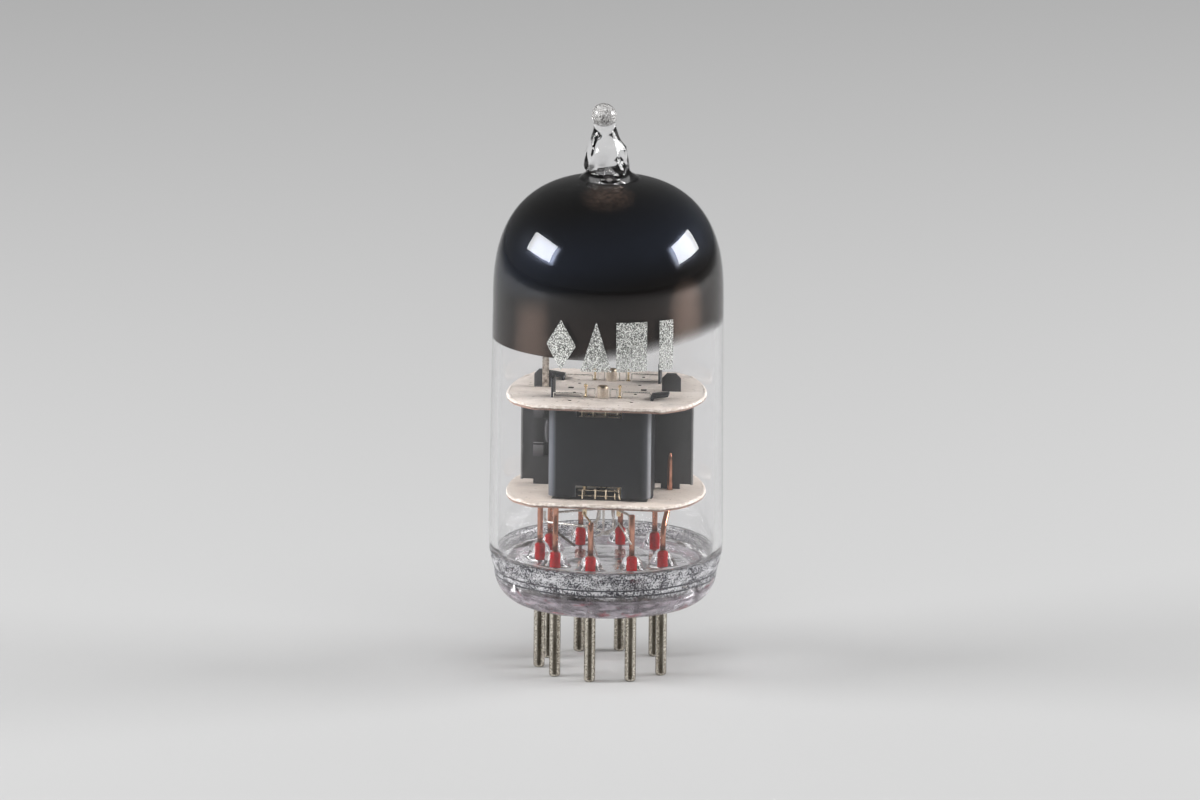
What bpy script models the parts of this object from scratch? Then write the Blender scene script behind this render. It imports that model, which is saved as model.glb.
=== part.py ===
"""A nine-pin miniature double triode: glass bulb, pressed base, pins and electrode cage.

The tube stands on its pins. The origin is on the tube's axis, in the plane of the pin ends,
with +Z up. The shield between the two triodes lies in the XZ plane, the front triode is on
the -Y side, and the rear triode is the front one turned by half a turn about the axis.
"""
import math

import bmesh
import bpy
from mathutils import Matrix, Vector

MM = 0.001

# Standard nine-pin base
PIN_COUNT = 9
PIN_PITCH = math.radians(36)
PIN_TURN = math.radians(137.5)
PIN_CIRCLE_RADIUS = 5.95 * MM
PIN_RADIUS = 0.51 * MM
PIN_LENGTH = 6.35 * MM
PIN_IN_GLASS = 0.55 * MM
PIN_END_ROUND = 0.22 * MM

# Pressed glass base
BASE_FLANK_WIDTH = 2.5 * MM
BASE_DRAW_IN = 0.55 * MM
BASE_RIM_HEIGHT = 2.95 * MM
BASE_FLOOR_HEIGHT = 3.85 * MM
BASE_DIMPLE_RADIUS = 3.6 * MM
BASE_DIMPLE_DEPTH = 0.15 * MM
BOSS_FOOT_RADIUS = 1.3 * MM
BOSS_TOP_RADIUS = 0.8 * MM
BOSS_HEIGHT = 1.4 * MM
GLASS_FIT = 0.03 * MM

# Bulb, with its heights above the face that the pins leave
BULB_RADIUS = 10.6 * MM
SHOULDER_TAPER = 0.2 * MM
WIDEST_RISE = 6.05 * MM
SHOULDER_RISE = 27.65 * MM
DOME_RISE = 11.3 * MM
DOME_POWER = 2.6
BULB_WALL = 0.8 * MM

# Sealed-off exhaust tip
TIP_RISE = 6.7 * MM
TIP_BALL_RADIUS = 1.15 * MM
TIP_NECK_RADIUS = 1.03 * MM
TIP_STEM_RADIUS = 1.95 * MM
TIP_FOOT_RADIUS = 2.6 * MM
TIP_STEM_HEIGHT = 2.5 * MM
TIP_BORE_RADIUS = 0.85 * MM
TIP_BORE_HEIGHT = 3.0 * MM
TIP_LEAN = -0.32 * MM

# Wires through the base
SEAL_RADIUS = 0.4 * MM
SEAL_ABOVE_BOSS = 0.1 * MM
LEAD_RADIUS = 0.25 * MM
THIN_WIRE_RADIUS = 0.11 * MM

# Mica spacers
MICA_THICKNESS = 0.4 * MM
LOWER_MICA_RISE = 10.05 * MM
MICA_SPACING = 9.0 * MM
MICA_FLAT_SHARE = 0.805
MICA_END_SHARE = 0.9375
MICA_CORNER_SHARE = 0.784
MICA_GLASS_CLEARANCE = 0.17 * MM
MICA_SLOT_FIT = 0.03 * MM
MICA_SLIT_WIDTH = 0.16 * MM
MICA_HOLE_RADIUS = 0.12 * MM
MICA_HOLE_OUT = 2.75 * MM
MICA_HOLE_APART = 1.65 * MM

# Anodes
TRIODE_OFFSET = 3.5 * MM
ANODE_LENGTH = 9.1 * MM
ANODE_DEPTH = 5.2 * MM
ANODE_SHEET = 0.22 * MM
ANODE_CORNER = 0.8 * MM
ANODE_MICA_GAP = 0.3 * MM
ANODE_TAB_WIDTH = 1.5 * MM
ANODE_TAB_RISE = 1.8 * MM
ANODE_TAB_FOLD = 1.45 * MM
ANODE_TAB_LIFT = 0.2 * MM
ANODE_FOOT_DROP = 0.7 * MM
ANODE_NOTCH_LENGTH = 4.1 * MM
ANODE_NOTCH_LOWER = 1.05 * MM
ANODE_NOTCH_UPPER = 0.6 * MM

# Shield
SHIELD_LENGTH = 15.6 * MM
SHIELD_SHEET = 0.2 * MM
SHIELD_MICA_GAP_LOWER = 0.45 * MM
SHIELD_MICA_GAP_UPPER = 0.2 * MM
SHIELD_LIP_DEPTH = 0.44 * MM
SHIELD_LIP_WIDTH = 0.16 * MM
SHIELD_TAB_PLACE = 5.8 * MM
SHIELD_TAB_WIDTH = 1.7 * MM
SHIELD_TAB_RISE = 1.65 * MM
SHIELD_TAB_CHAMFER = 0.45 * MM
SHIELD_FOOT_DROP = 0.25 * MM
SHIELD_PIP_PLACE = 3.3 * MM
SHIELD_PIP_WIDTH = 0.42 * MM
SHIELD_PIP_RISE = 0.15 * MM
LUG_HINGE = 5.72 * MM
LUG_LENGTH = 0.95 * MM
LUG_HEIGHT = 1.25 * MM
LUG_THICKNESS = 0.16 * MM
LUG_SHARES = (0.27, 0.71)

# Cathodes and heaters
CATHODE_RADIUS = 0.5 * MM
CATHODE_WALL = 0.08 * MM
CATHODE_RISE = 1.05 * MM
CATHODE_DROP = 0.55 * MM
HEATER_RADIUS = 0.12 * MM
HEATER_SPREAD = 0.18 * MM
HEATER_BELOW_CATHODE = 0.45 * MM
HEATER_BELOW_TOP = 0.35 * MM

# Grids
GRID_ROD_PLACE = 1.53 * MM
GRID_ROD_RADIUS = 0.2 * MM
GRID_ROD_RISE = 1.2 * MM
GRID_ROD_DROP = 1.5 * MM
GRID_WIRE_RADIUS = 0.03 * MM
GRID_PITCH = 0.85 * MM
GRID_HALF_DEPTH = 0.74 * MM
GRID_END_GAP = 0.8 * MM

# Getter
GETTER_RADIUS = 1.8 * MM
GETTER_ABOVE_MICA = 4.7 * MM
GETTER_DEPTH = 0.55 * MM
GETTER_WIDTH = 0.7 * MM
GETTER_SHEET = 0.12 * MM
GETTER_CENTRE_X = -1.0 * MM
HOLDER_PLACE = 5.6 * MM
HOLDER_WIDTH = 0.6 * MM
HOLDER_SHEET = 0.12 * MM
HOLDER_BEND = 1.1 * MM

# Leads and straps
LEAD_FIT = 0.04 * MM
STUB_LEAD_GRID = 3.0 * MM
STUB_LEAD_CATHODE = 3.7 * MM
SHIELD_LEAD_RISE = 2.4 * MM
SHIELD_LEAD_POINT = 1.0 * MM

# Sides of the round parts
GLASS_SIDES = 48
PIN_SIDES = 12
BORE_SIDES = 12
DOME_STEPS = 8

# Radii and heights that follow from the sizes above
BASE_RADIUS = BULB_RADIUS - BASE_DRAW_IN
BASE_FACE_RADIUS = BASE_RADIUS - BASE_FLANK_WIDTH
SHOULDER_RADIUS = BULB_RADIUS - SHOULDER_TAPER
SEAT_Z = PIN_LENGTH
WIDEST_HEIGHT = SEAT_Z + WIDEST_RISE
SHOULDER_HEIGHT = SEAT_Z + SHOULDER_RISE
CROWN_HEIGHT = SHOULDER_HEIGHT + DOME_RISE
TIP_TOP = CROWN_HEIGHT + TIP_RISE
LOWER_MICA_HEIGHT = SEAT_Z + LOWER_MICA_RISE
UPPER_MICA_HEIGHT = LOWER_MICA_HEIGHT + MICA_SPACING
PIN_TOP_Z = SEAT_Z + PIN_IN_GLASS
RIM_Z = SEAT_Z + BASE_RIM_HEIGHT
FLOOR_Z = SEAT_Z + BASE_FLOOR_HEIGHT
BOSS_TOP_Z = FLOOR_Z + BOSS_HEIGHT
SEAL_TOP_Z = BOSS_TOP_Z + SEAL_ABOVE_BOSS
LEAD_FOOT_Z = SEAL_TOP_Z + LEAD_FIT
LOWER_TOP_Z = LOWER_MICA_HEIGHT + MICA_THICKNESS
UPPER_TOP_Z = UPPER_MICA_HEIGHT + MICA_THICKNESS
ANODE_BOTTOM_Z = LOWER_TOP_Z + ANODE_MICA_GAP
ANODE_TOP_Z = UPPER_MICA_HEIGHT - ANODE_MICA_GAP
SHIELD_BOTTOM_Z = LOWER_TOP_Z + SHIELD_MICA_GAP_LOWER
SHIELD_TOP_Z = UPPER_MICA_HEIGHT - SHIELD_MICA_GAP_UPPER
CATHODE_BOTTOM_Z = LOWER_MICA_HEIGHT - CATHODE_DROP
CATHODE_TOP_Z = UPPER_TOP_Z + CATHODE_RISE
HEATER_BOTTOM_Z = CATHODE_BOTTOM_Z - HEATER_BELOW_CATHODE
GRID_BOTTOM_Z = LOWER_MICA_HEIGHT - GRID_ROD_DROP
GETTER_HEIGHT = UPPER_TOP_Z + GETTER_ABOVE_MICA
SHIELD_LEAD_HEIGHT = LOWER_TOP_Z + SHIELD_LEAD_RISE
ANODE_WALL_X = ANODE_LENGTH / 2 - ANODE_SHEET / 2


for stale in list(bpy.data.objects):
    bpy.data.objects.remove(stale, do_unlink=True)

parts = bpy.data.collections.new("vacuum_tube")
tools = bpy.data.collections.new("cutters_and_guides")
bpy.context.scene.collection.children.link(parts)
bpy.context.scene.collection.children.link(tools)


def finish_of(name, colour, roughness, metallic=0.0, transmission=0.0):
    made = bpy.data.materials.new(name)
    made.use_nodes = True
    shader = made.node_tree.nodes["Principled BSDF"]
    shader.inputs["Base Color"].default_value = (*colour, 1.0)
    shader.inputs["Roughness"].default_value = roughness
    shader.inputs["Metallic"].default_value = metallic
    shader.inputs["Transmission Weight"].default_value = transmission
    return made


CLEAR_GLASS = finish_of("clear_glass", (0.95, 0.96, 0.95), 0.03, transmission=1.0)
NICKEL = finish_of("nickel_pins", (0.75, 0.72, 0.66), 0.25, metallic=1.0)
RED_SEAL = finish_of("red_seal_wire", (0.72, 0.10, 0.11), 0.35)
COPPER = finish_of("copper_leads", (0.80, 0.50, 0.40), 0.35, metallic=1.0)
MICA = finish_of("coated_mica", (0.86, 0.81, 0.77), 0.7)
BLACKENED = finish_of("blackened_anode", (0.09, 0.10, 0.105), 0.55)
SHIELD_METAL = finish_of("shield_metal", (0.16, 0.15, 0.16), 0.5)
CATHODE_COAT = finish_of("cathode_coat", (0.62, 0.53, 0.43), 0.7)
GOLD_ROD = finish_of("gold_grid_rods", (0.86, 0.68, 0.42), 0.25, metallic=1.0)
SILVER_WIRE = finish_of("silver_wire", (0.80, 0.79, 0.77), 0.3, metallic=1.0)
HEATER_COAT = finish_of("heater_coat", (0.88, 0.88, 0.86), 0.8)
GETTER_METAL = finish_of("getter_metal", (0.55, 0.52, 0.48), 0.45, metallic=1.0)


def mesh_object(name, mesh, material=None, home=parts):
    made = bpy.data.objects.new(name, mesh)
    home.objects.link(made)
    if material:
        mesh.materials.append(material)
    if home is tools:
        made.hide_render = True
        made.display_type = "WIRE"
    return made


def smooth(mesh, angle=35):
    mesh.shade_smooth()
    mesh.set_sharp_from_angle(angle=math.radians(angle))


def baked(source, name, material=None, home=parts, weld=2e-7):
    """The evaluated mesh of an object as a plain object, with its doubles welded."""
    bpy.context.view_layer.update()
    depsgraph = bpy.context.evaluated_depsgraph_get()
    mesh = bpy.data.meshes.new_from_object(source.evaluated_get(depsgraph))
    mesh.transform(source.matrix_world)
    shape = bmesh.new()
    shape.from_mesh(mesh)
    bmesh.ops.remove_doubles(shape, verts=shape.verts, dist=weld)
    bmesh.ops.recalc_face_normals(shape, faces=shape.faces)
    shape.to_mesh(mesh)
    shape.free()
    mesh.materials.clear()
    bpy.data.objects.remove(source, do_unlink=True)
    return mesh_object(name, mesh, material, home)


def turned(name, profile, sides, material=None, home=parts, place=(0, 0, 0)):
    """A turned solid. The profile holds (radius, height), from the top of the axis down."""
    mesh = bpy.data.meshes.new(name + "_profile")
    points = [(radius, 0, height) for radius, height in profile]
    edges = [(i, i + 1) for i in range(len(points) - 1)]
    mesh.from_pydata(points, edges, [])
    source = mesh_object(name + "_profile", mesh, home=tools)
    screw = source.modifiers.new("turn", "SCREW")
    screw.angle = math.tau
    screw.steps = sides
    screw.render_steps = sides
    screw.use_merge_vertices = True
    screw.merge_threshold = 1e-7
    made = baked(source, name, material, home)
    made.location = place
    smooth(made.data)
    return made


def wire(name, points, radius, material, resolution=2, tip=1.0):
    """A round wire along the points, with closed ends; tip thins the last point."""
    curve = bpy.data.curves.new(name, "CURVE")
    curve.dimensions = "3D"
    curve.bevel_depth = radius
    curve.bevel_resolution = resolution
    curve.use_fill_caps = True
    spline = curve.splines.new("POLY")
    spline.points.add(len(points) - 1)
    for knot, point in zip(spline.points, points):
        knot.co = (*point, 1)
    spline.points[-1].radius = tip
    curve.materials.append(material)
    made = bpy.data.objects.new(name, curve)
    parts.objects.link(made)
    return made


def rounded(points, radius, steps=3):
    """The points with each corner between two straight runs turned into a short curve."""
    points = [Vector(point) for point in points]
    path = [points[0]]
    for before, corner, after in zip(points, points[1:], points[2:]):
        back = (before - corner)
        ahead = (after - corner)
        reach = min(radius, back.length * 0.45, ahead.length * 0.45)
        start = corner + back.normalized() * reach
        end = corner + ahead.normalized() * reach
        for i in range(steps + 1):
            t = i / steps
            path.append(start.lerp(corner, t).lerp(corner.lerp(end, t), t))
    path.append(points[-1])
    return path


def flat_plate(name, outlines, thickness, material, upright=False, home=parts):
    """A plate from closed outlines; the first is its edge and the rest are holes."""
    curve = bpy.data.curves.new(name, "CURVE")
    curve.dimensions = "2D"
    curve.fill_mode = "BOTH"
    curve.extrude = thickness / 2
    for outline in outlines:
        spline = curve.splines.new("POLY")
        spline.points.add(len(outline) - 1)
        spline.use_cyclic_u = True
        for knot, (x, y) in zip(spline.points, outline):
            knot.co = (x, y, 0, 1)
    source = bpy.data.objects.new(name + "_outline", curve)
    tools.objects.link(source)
    if upright:
        source.rotation_euler.x = math.pi / 2
    return baked(source, name, material, home)


def bent_strip(name, points, across, width, thickness, home=tools):
    """A strip of sheet that follows the points, centred on them."""
    across = Vector(across).normalized() * width / 2
    rows = [Vector(point) for point in points]
    verts = [row + side for row in rows for side in (-across, across)]
    faces = [(2 * i, 2 * i + 1, 2 * i + 3, 2 * i + 2) for i in range(len(rows) - 1)]
    mesh = bpy.data.meshes.new(name + "_path")
    mesh.from_pydata([tuple(vert) for vert in verts], [], faces)
    source = mesh_object(name + "_path", mesh, home=tools)
    sheet = source.modifiers.new("sheet", "SOLIDIFY")
    sheet.thickness = thickness
    sheet.offset = 0
    sheet.use_even_offset = True
    return baked(source, name, home=home)


def block(name, low, high, home=tools):
    shape = bmesh.new()
    size = Vector(high) - Vector(low)
    middle = (Vector(high) + Vector(low)) / 2
    place = Matrix.Translation(middle) @ Matrix.Diagonal((*size, 1))
    bmesh.ops.create_cube(shape, size=1, matrix=place)
    mesh = bpy.data.meshes.new(name)
    shape.to_mesh(mesh)
    shape.free()
    return mesh_object(name, mesh, home=home)


def combine(target, others, operation, label):
    """Join the others to the target, or cut them out of it, as one Boolean."""
    group = bpy.data.collections.new(label)
    tools.children.link(group)
    for other in others:
        for home in list(other.users_collection):
            home.objects.unlink(other)
        group.objects.link(other)
        other.hide_render = True
        other.display_type = "WIRE"
    step = target.modifiers.new(label, "BOOLEAN")
    step.operation = operation
    step.operand_type = "COLLECTION"
    step.collection = group
    step.solver = "EXACT"


def circle(radius, centre, sides):
    turns = [math.tau * i / sides for i in range(sides)]
    return [(centre[0] + radius * math.cos(a), centre[1] + radius * math.sin(a)) for a in turns]


def rectangle(centre, width, depth):
    x, y = centre
    across = width / 2
    along = depth / 2
    return [(x - across, y - along), (x + across, y - along),
            (x + across, y + along), (x - across, y + along)]


def pin_place(number):
    """The place of a pin on the pin circle; pin 1 comes after the gap, seen from above."""
    angle = PIN_TURN + PIN_PITCH * (number - 1)
    return Vector((PIN_CIRCLE_RADIUS * math.sin(angle), -PIN_CIRCLE_RADIUS * math.cos(angle), 0))


def rear_copy(front, name):
    """The rear triode's twin of a front piece: the same shape, turned by half a turn."""
    twin = front.copy()
    twin.name = name
    twin.rotation_euler.z = math.pi
    parts.objects.link(twin)
    return twin


def wall_radius(height):
    """The bulb's outer radius at a height, from the joint with the base to the crown."""
    if height <= WIDEST_HEIGHT:
        share = (WIDEST_HEIGHT - height) / (WIDEST_HEIGHT - RIM_Z)
        return BULB_RADIUS - (BULB_RADIUS - BASE_RADIUS) * share ** 2
    if height <= SHOULDER_HEIGHT:
        share = (height - WIDEST_HEIGHT) / (SHOULDER_HEIGHT - WIDEST_HEIGHT)
        return BULB_RADIUS + (SHOULDER_RADIUS - BULB_RADIUS) * share
    share = (height - SHOULDER_HEIGHT) / (CROWN_HEIGHT - SHOULDER_HEIGHT)
    return SHOULDER_RADIUS * (1 - share ** DOME_POWER) ** (1 / DOME_POWER)


def dome(inset, end_radius):
    """Dome points from its top edge down to the shoulder, set in by a wall."""
    span = SHOULDER_RADIUS - inset
    rise = CROWN_HEIGHT - SHOULDER_HEIGHT - inset
    last = math.asin((end_radius / span) ** (DOME_POWER / 2))
    points = []
    for i in range(DOME_STEPS):
        angle = last + (math.pi / 2 - last) * i / DOME_STEPS
        radius = span * math.sin(angle) ** (2 / DOME_POWER)
        height = SHOULDER_HEIGHT + rise * math.cos(angle) ** (2 / DOME_POWER)
        points.append((radius, height))
    return points


def make_bulb():
    """The drawn envelope: sealed tip, dome, slightly tapered wall and drawn-in skirt."""
    ball_z = TIP_TOP - TIP_BALL_RADIUS
    neck_angle = math.asin(TIP_NECK_RADIUS / TIP_BALL_RADIUS)
    outside = []
    for i in range(6):
        angle = (math.pi - neck_angle) * i / 5
        outside.append((TIP_BALL_RADIUS * math.sin(angle), ball_z + TIP_BALL_RADIUS * math.cos(angle)))
    outside[0] = (0, TIP_TOP)
    stem_top = CROWN_HEIGHT + TIP_STEM_HEIGHT
    outside.append((TIP_STEM_RADIUS * 0.9, stem_top))
    outside.append((TIP_STEM_RADIUS, CROWN_HEIGHT + TIP_STEM_HEIGHT * 0.4))
    outside.append((TIP_STEM_RADIUS * 1.08, CROWN_HEIGHT + TIP_STEM_HEIGHT * 0.16))
    outside += dome(0, TIP_FOOT_RADIUS)
    wall_heights = [SHOULDER_HEIGHT, WIDEST_HEIGHT]
    skirt = [RIM_Z + (WIDEST_HEIGHT - RIM_Z) * share for share in (0.66, 0.33)]
    rim = RIM_Z + GLASS_FIT
    outside += [(wall_radius(z), z) for z in wall_heights + skirt + [rim]]
    inside = [(wall_radius(z) - BULB_WALL, z) for z in [rim] + skirt[::-1] + wall_heights[::-1]]
    inside += dome(BULB_WALL, TIP_BORE_RADIUS)[::-1]
    bore_top = CROWN_HEIGHT + TIP_BORE_HEIGHT
    inside.append((TIP_BORE_RADIUS * 0.4, bore_top - TIP_BORE_RADIUS))
    inside.append((0, bore_top))
    bulb = turned("bulb", outside + inside, GLASS_SIDES, CLEAR_GLASS)
    for vert in bulb.data.vertices:
        share = max(0, vert.co.z - CROWN_HEIGHT) / (TIP_TOP - CROWN_HEIGHT)
        vert.co.x += TIP_LEAN * share
    return bulb


def make_base():
    """The pressed base: a disc with a raised boss and a stepped bore round each pin."""
    rim_radius = wall_radius(RIM_Z) - BULB_WALL - GLASS_FIT
    lift = SEAT_Z + BASE_DIMPLE_DEPTH
    belly = BASE_RADIUS - BASE_FACE_RADIUS
    rise = RIM_Z - SEAT_Z
    flank = []
    for i in range(6):
        angle = math.pi / 2 * i / 5
        flank.append((BASE_FACE_RADIUS + belly * math.cos(angle), RIM_Z - rise * math.sin(angle)))
    fillet = BASE_FLOOR_HEIGHT - BASE_RIM_HEIGHT
    profile = [(0, FLOOR_Z), (rim_radius - fillet, FLOOR_Z),
               (rim_radius - fillet * 0.3, FLOOR_Z + fillet * 0.25),
               (rim_radius, FLOOR_Z + fillet * 0.6), (rim_radius, RIM_Z)]
    profile += flank
    profile += [(BASE_DIMPLE_RADIUS, SEAT_Z), (BASE_DIMPLE_RADIUS - BASE_DIMPLE_DEPTH, lift), (0, lift)]
    base = turned("base_button", profile, GLASS_SIDES, CLEAR_GLASS)
    boss_round = (BOSS_FOOT_RADIUS - BOSS_TOP_RADIUS)
    boss_profile = [(0, BOSS_TOP_Z), (BOSS_TOP_RADIUS * 0.75, BOSS_TOP_Z),
                    (BOSS_TOP_RADIUS, BOSS_TOP_Z - BOSS_TOP_RADIUS * 0.25),
                    (BOSS_TOP_RADIUS + boss_round * 0.3, FLOOR_Z + BOSS_HEIGHT * 0.3),
                    (BOSS_FOOT_RADIUS, FLOOR_Z), (BOSS_FOOT_RADIUS, SEAT_Z + BASE_RIM_HEIGHT / 2),
                    (0, SEAT_Z + BASE_RIM_HEIGHT / 2)]
    below = SEAT_Z / 2
    bore_profile = [(0, SEAL_TOP_Z + BOSS_HEIGHT), (SEAL_RADIUS + GLASS_FIT, SEAL_TOP_Z + BOSS_HEIGHT),
                    (SEAL_RADIUS + GLASS_FIT, PIN_TOP_Z + GLASS_FIT),
                    (PIN_RADIUS + GLASS_FIT, PIN_TOP_Z + GLASS_FIT),
                    (PIN_RADIUS + GLASS_FIT, below), (0, below)]
    bosses = []
    bores = []
    for number in range(1, PIN_COUNT + 1):
        place = pin_place(number)
        bosses.append(turned(f"boss_{number}", boss_profile, BORE_SIDES, home=tools, place=place))
        bores.append(turned(f"bore_{number}", bore_profile, BORE_SIDES, home=tools, place=place))
    combine(base, bosses, "UNION", "bosses")
    combine(base, bores, "DIFFERENCE", "pin_bores")
    return base


def make_pins_and_seals():
    """Nine pins with rounded ends, each under the red seal wire that it is welded to."""
    pin_profile = [(0, PIN_TOP_Z), (PIN_RADIUS * 0.6, PIN_TOP_Z), (PIN_RADIUS * 0.9, PIN_TOP_Z - PIN_RADIUS * 0.25),
                   (PIN_RADIUS, PIN_TOP_Z - PIN_RADIUS * 0.6), (PIN_RADIUS, PIN_END_ROUND),
                   (PIN_RADIUS * 0.88, PIN_END_ROUND * 0.35), (PIN_RADIUS - PIN_END_ROUND, 0), (0, 0)]
    seal_profile = [(0, SEAL_TOP_Z), (SEAL_RADIUS * 0.7, SEAL_TOP_Z), (SEAL_RADIUS, SEAL_TOP_Z - SEAL_RADIUS * 0.3),
                    (SEAL_RADIUS, PIN_TOP_Z + 2 * GLASS_FIT), (0, PIN_TOP_Z + 2 * GLASS_FIT)]
    for number in range(1, PIN_COUNT + 1):
        place = pin_place(number)
        turned(f"pin_{number}", pin_profile, PIN_SIDES, NICKEL, place=place)
        turned(f"seal_{number}", seal_profile, BORE_SIDES, RED_SEAL, place=place)


def mica_outline():
    """The spacer's edge: straight front and back, corners on the glass, bowed ends."""
    corner_radius = wall_radius(UPPER_TOP_Z) - BULB_WALL - MICA_GLASS_CLEARANCE
    half_length = corner_radius * MICA_END_SHARE
    corner_x = corner_radius * MICA_CORNER_SHARE
    corner_y = math.sqrt(corner_radius ** 2 - corner_x ** 2)
    bow = (half_length ** 2 - corner_radius ** 2) / (2 * (half_length - corner_x))
    bow_radius = half_length - bow
    start = math.asin(corner_y / bow_radius)
    bow_steps = 14
    points = []
    for i in range(bow_steps + 1):
        angle = -start + 2 * start * i / bow_steps
        points.append((bow + bow_radius * math.cos(angle), bow_radius * math.sin(angle)))
    first = math.atan2(corner_y, corner_x)
    last = math.asin(MICA_FLAT_SHARE)
    corner_steps = 5
    for i in range(1, corner_steps + 1):
        angle = first + (last - first) * i / corner_steps
        points.append((corner_radius * math.cos(angle), corner_radius * math.sin(angle)))
    left = [(-x, y) for x, y in reversed(points)]
    lower_right = [(x, -y) for x, y in reversed(points[bow_steps + 1:])]
    lower_left = [(-x, y) for x, y in reversed(lower_right)]
    return points + left + lower_left + lower_right


def triode_holes():
    """Holes for one triode, about its own middle, as pairs for the front one."""
    fit = MICA_SLOT_FIT
    rod_hole = GRID_ROD_RADIUS + fit
    sleeve_hole = CATHODE_RADIUS + fit
    holes = [circle(sleeve_hole, (0, 0), 16)]
    slit_start = sleeve_hole + fit * 3
    slit_end = GRID_ROD_PLACE - rod_hole - fit * 3
    for side in (-1, 1):
        holes.append(circle(rod_hole, (side * GRID_ROD_PLACE, 0), 10))
        middle = side * (slit_start + slit_end) / 2
        holes.append(rectangle((middle, 0), slit_end - slit_start, MICA_SLIT_WIDTH))
        tab = (ANODE_SHEET + 2 * fit, ANODE_TAB_WIDTH + 2 * fit)
        holes.append(rectangle((side * ANODE_WALL_X, 0), *tab))
        for along in (-1, 1):
            centre = (side * MICA_HOLE_OUT, along * MICA_HOLE_APART)
            holes.append(circle(MICA_HOLE_RADIUS, centre, 8))
    long_start = -(GRID_ROD_PLACE + rod_hole + fit * 4)
    long_end = -(ANODE_WALL_X - ANODE_SHEET / 2 - fit * 5)
    holes.append(rectangle(((long_start + long_end) / 2, 0), long_start - long_end, MICA_SLIT_WIDTH))
    return holes


def make_mica(name, height, extra_holes):
    holes = []
    for hole in triode_holes():
        holes.append([(x, y - TRIODE_OFFSET) for x, y in hole])
        holes.append([(-x, TRIODE_OFFSET - y) for x, y in hole])
    fit = MICA_SLOT_FIT
    slot_depth = SHIELD_SHEET + 2 * fit
    for side in (-1, 1):
        holes.append(rectangle((side * SHIELD_TAB_PLACE, 0), SHIELD_TAB_WIDTH + 2 * fit, slot_depth))
        holes.append(rectangle((side * SHIELD_PIP_PLACE, 0), SHIELD_PIP_WIDTH + 2 * fit, slot_depth))
    plate = flat_plate(name, [mica_outline()] + holes + extra_holes, MICA_THICKNESS, MICA)
    plate.location.z = height + MICA_THICKNESS / 2
    return plate


def rounded_rectangle(length, depth, radius, steps=4):
    points = []
    for quarter, (sx, sy) in enumerate(((1, 1), (-1, 1), (-1, -1), (1, -1))):
        centre = (sx * (length / 2 - radius), sy * (depth / 2 - radius))
        for i in range(steps + 1):
            angle = math.pi / 2 * (quarter + i / steps)
            points.append((centre[0] + radius * math.cos(angle), centre[1] + radius * math.sin(angle)))
    return points


def make_anode():
    """The front anode: a folded box of blackened sheet with tabs and feet on its end walls."""
    height = ANODE_TOP_Z - ANODE_BOTTOM_Z
    outer = rounded_rectangle(ANODE_LENGTH, ANODE_DEPTH, ANODE_CORNER)
    inner = rounded_rectangle(ANODE_LENGTH - 2 * ANODE_SHEET, ANODE_DEPTH - 2 * ANODE_SHEET,
                              ANODE_CORNER - ANODE_SHEET)
    anode = flat_plate("anode_front", [outer, inner], height, BLACKENED)
    for vert in anode.data.vertices:
        vert.co += Vector((0, -TRIODE_OFFSET, (ANODE_TOP_Z + ANODE_BOTTOM_Z) / 2))
    root = ANODE_TOP_Z - ANODE_TAB_WIDTH / 2
    sill = ANODE_BOTTOM_Z + ANODE_TAB_WIDTH / 2
    upright = [(-ANODE_WALL_X, -TRIODE_OFFSET, root),
               (-ANODE_WALL_X, -TRIODE_OFFSET, UPPER_TOP_Z + ANODE_TAB_RISE)]
    fold_z = UPPER_TOP_Z + ANODE_TAB_LIFT + ANODE_SHEET / 2
    folded = [(ANODE_WALL_X, -TRIODE_OFFSET, root), (ANODE_WALL_X, -TRIODE_OFFSET, fold_z),
              (ANODE_WALL_X + ANODE_TAB_FOLD, -TRIODE_OFFSET, fold_z + ANODE_TAB_LIFT)]
    pieces = [bent_strip("anode_tab_upright", upright, (0, 1, 0), ANODE_TAB_WIDTH, ANODE_SHEET),
              bent_strip("anode_tab_folded", folded, (0, 1, 0), ANODE_TAB_WIDTH, ANODE_SHEET)]
    for side in (-1, 1):
        foot = [(side * ANODE_WALL_X, -TRIODE_OFFSET, sill),
                (side * ANODE_WALL_X, -TRIODE_OFFSET, LOWER_MICA_HEIGHT - ANODE_FOOT_DROP)]
        pieces.append(bent_strip("anode_foot", foot, (0, 1, 0), ANODE_TAB_WIDTH, ANODE_SHEET))
    combine(anode, pieces, "UNION", "anode_tabs")
    half = ANODE_NOTCH_LENGTH / 2
    front = -TRIODE_OFFSET - ANODE_DEPTH
    back = -TRIODE_OFFSET + ANODE_DEPTH
    notches = [block("lower_notch", (-half, front, ANODE_BOTTOM_Z - ANODE_NOTCH_LOWER),
                     (half, back, ANODE_BOTTOM_Z + ANODE_NOTCH_LOWER)),
               block("upper_notch", (-half, front, ANODE_TOP_Z - ANODE_NOTCH_UPPER),
                     (half, back, ANODE_TOP_Z + ANODE_NOTCH_UPPER))]
    combine(anode, notches, "DIFFERENCE", "anode_notches")
    anode = baked(anode, "anode_front", BLACKENED)
    smooth(anode.data, 30)
    return anode


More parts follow.
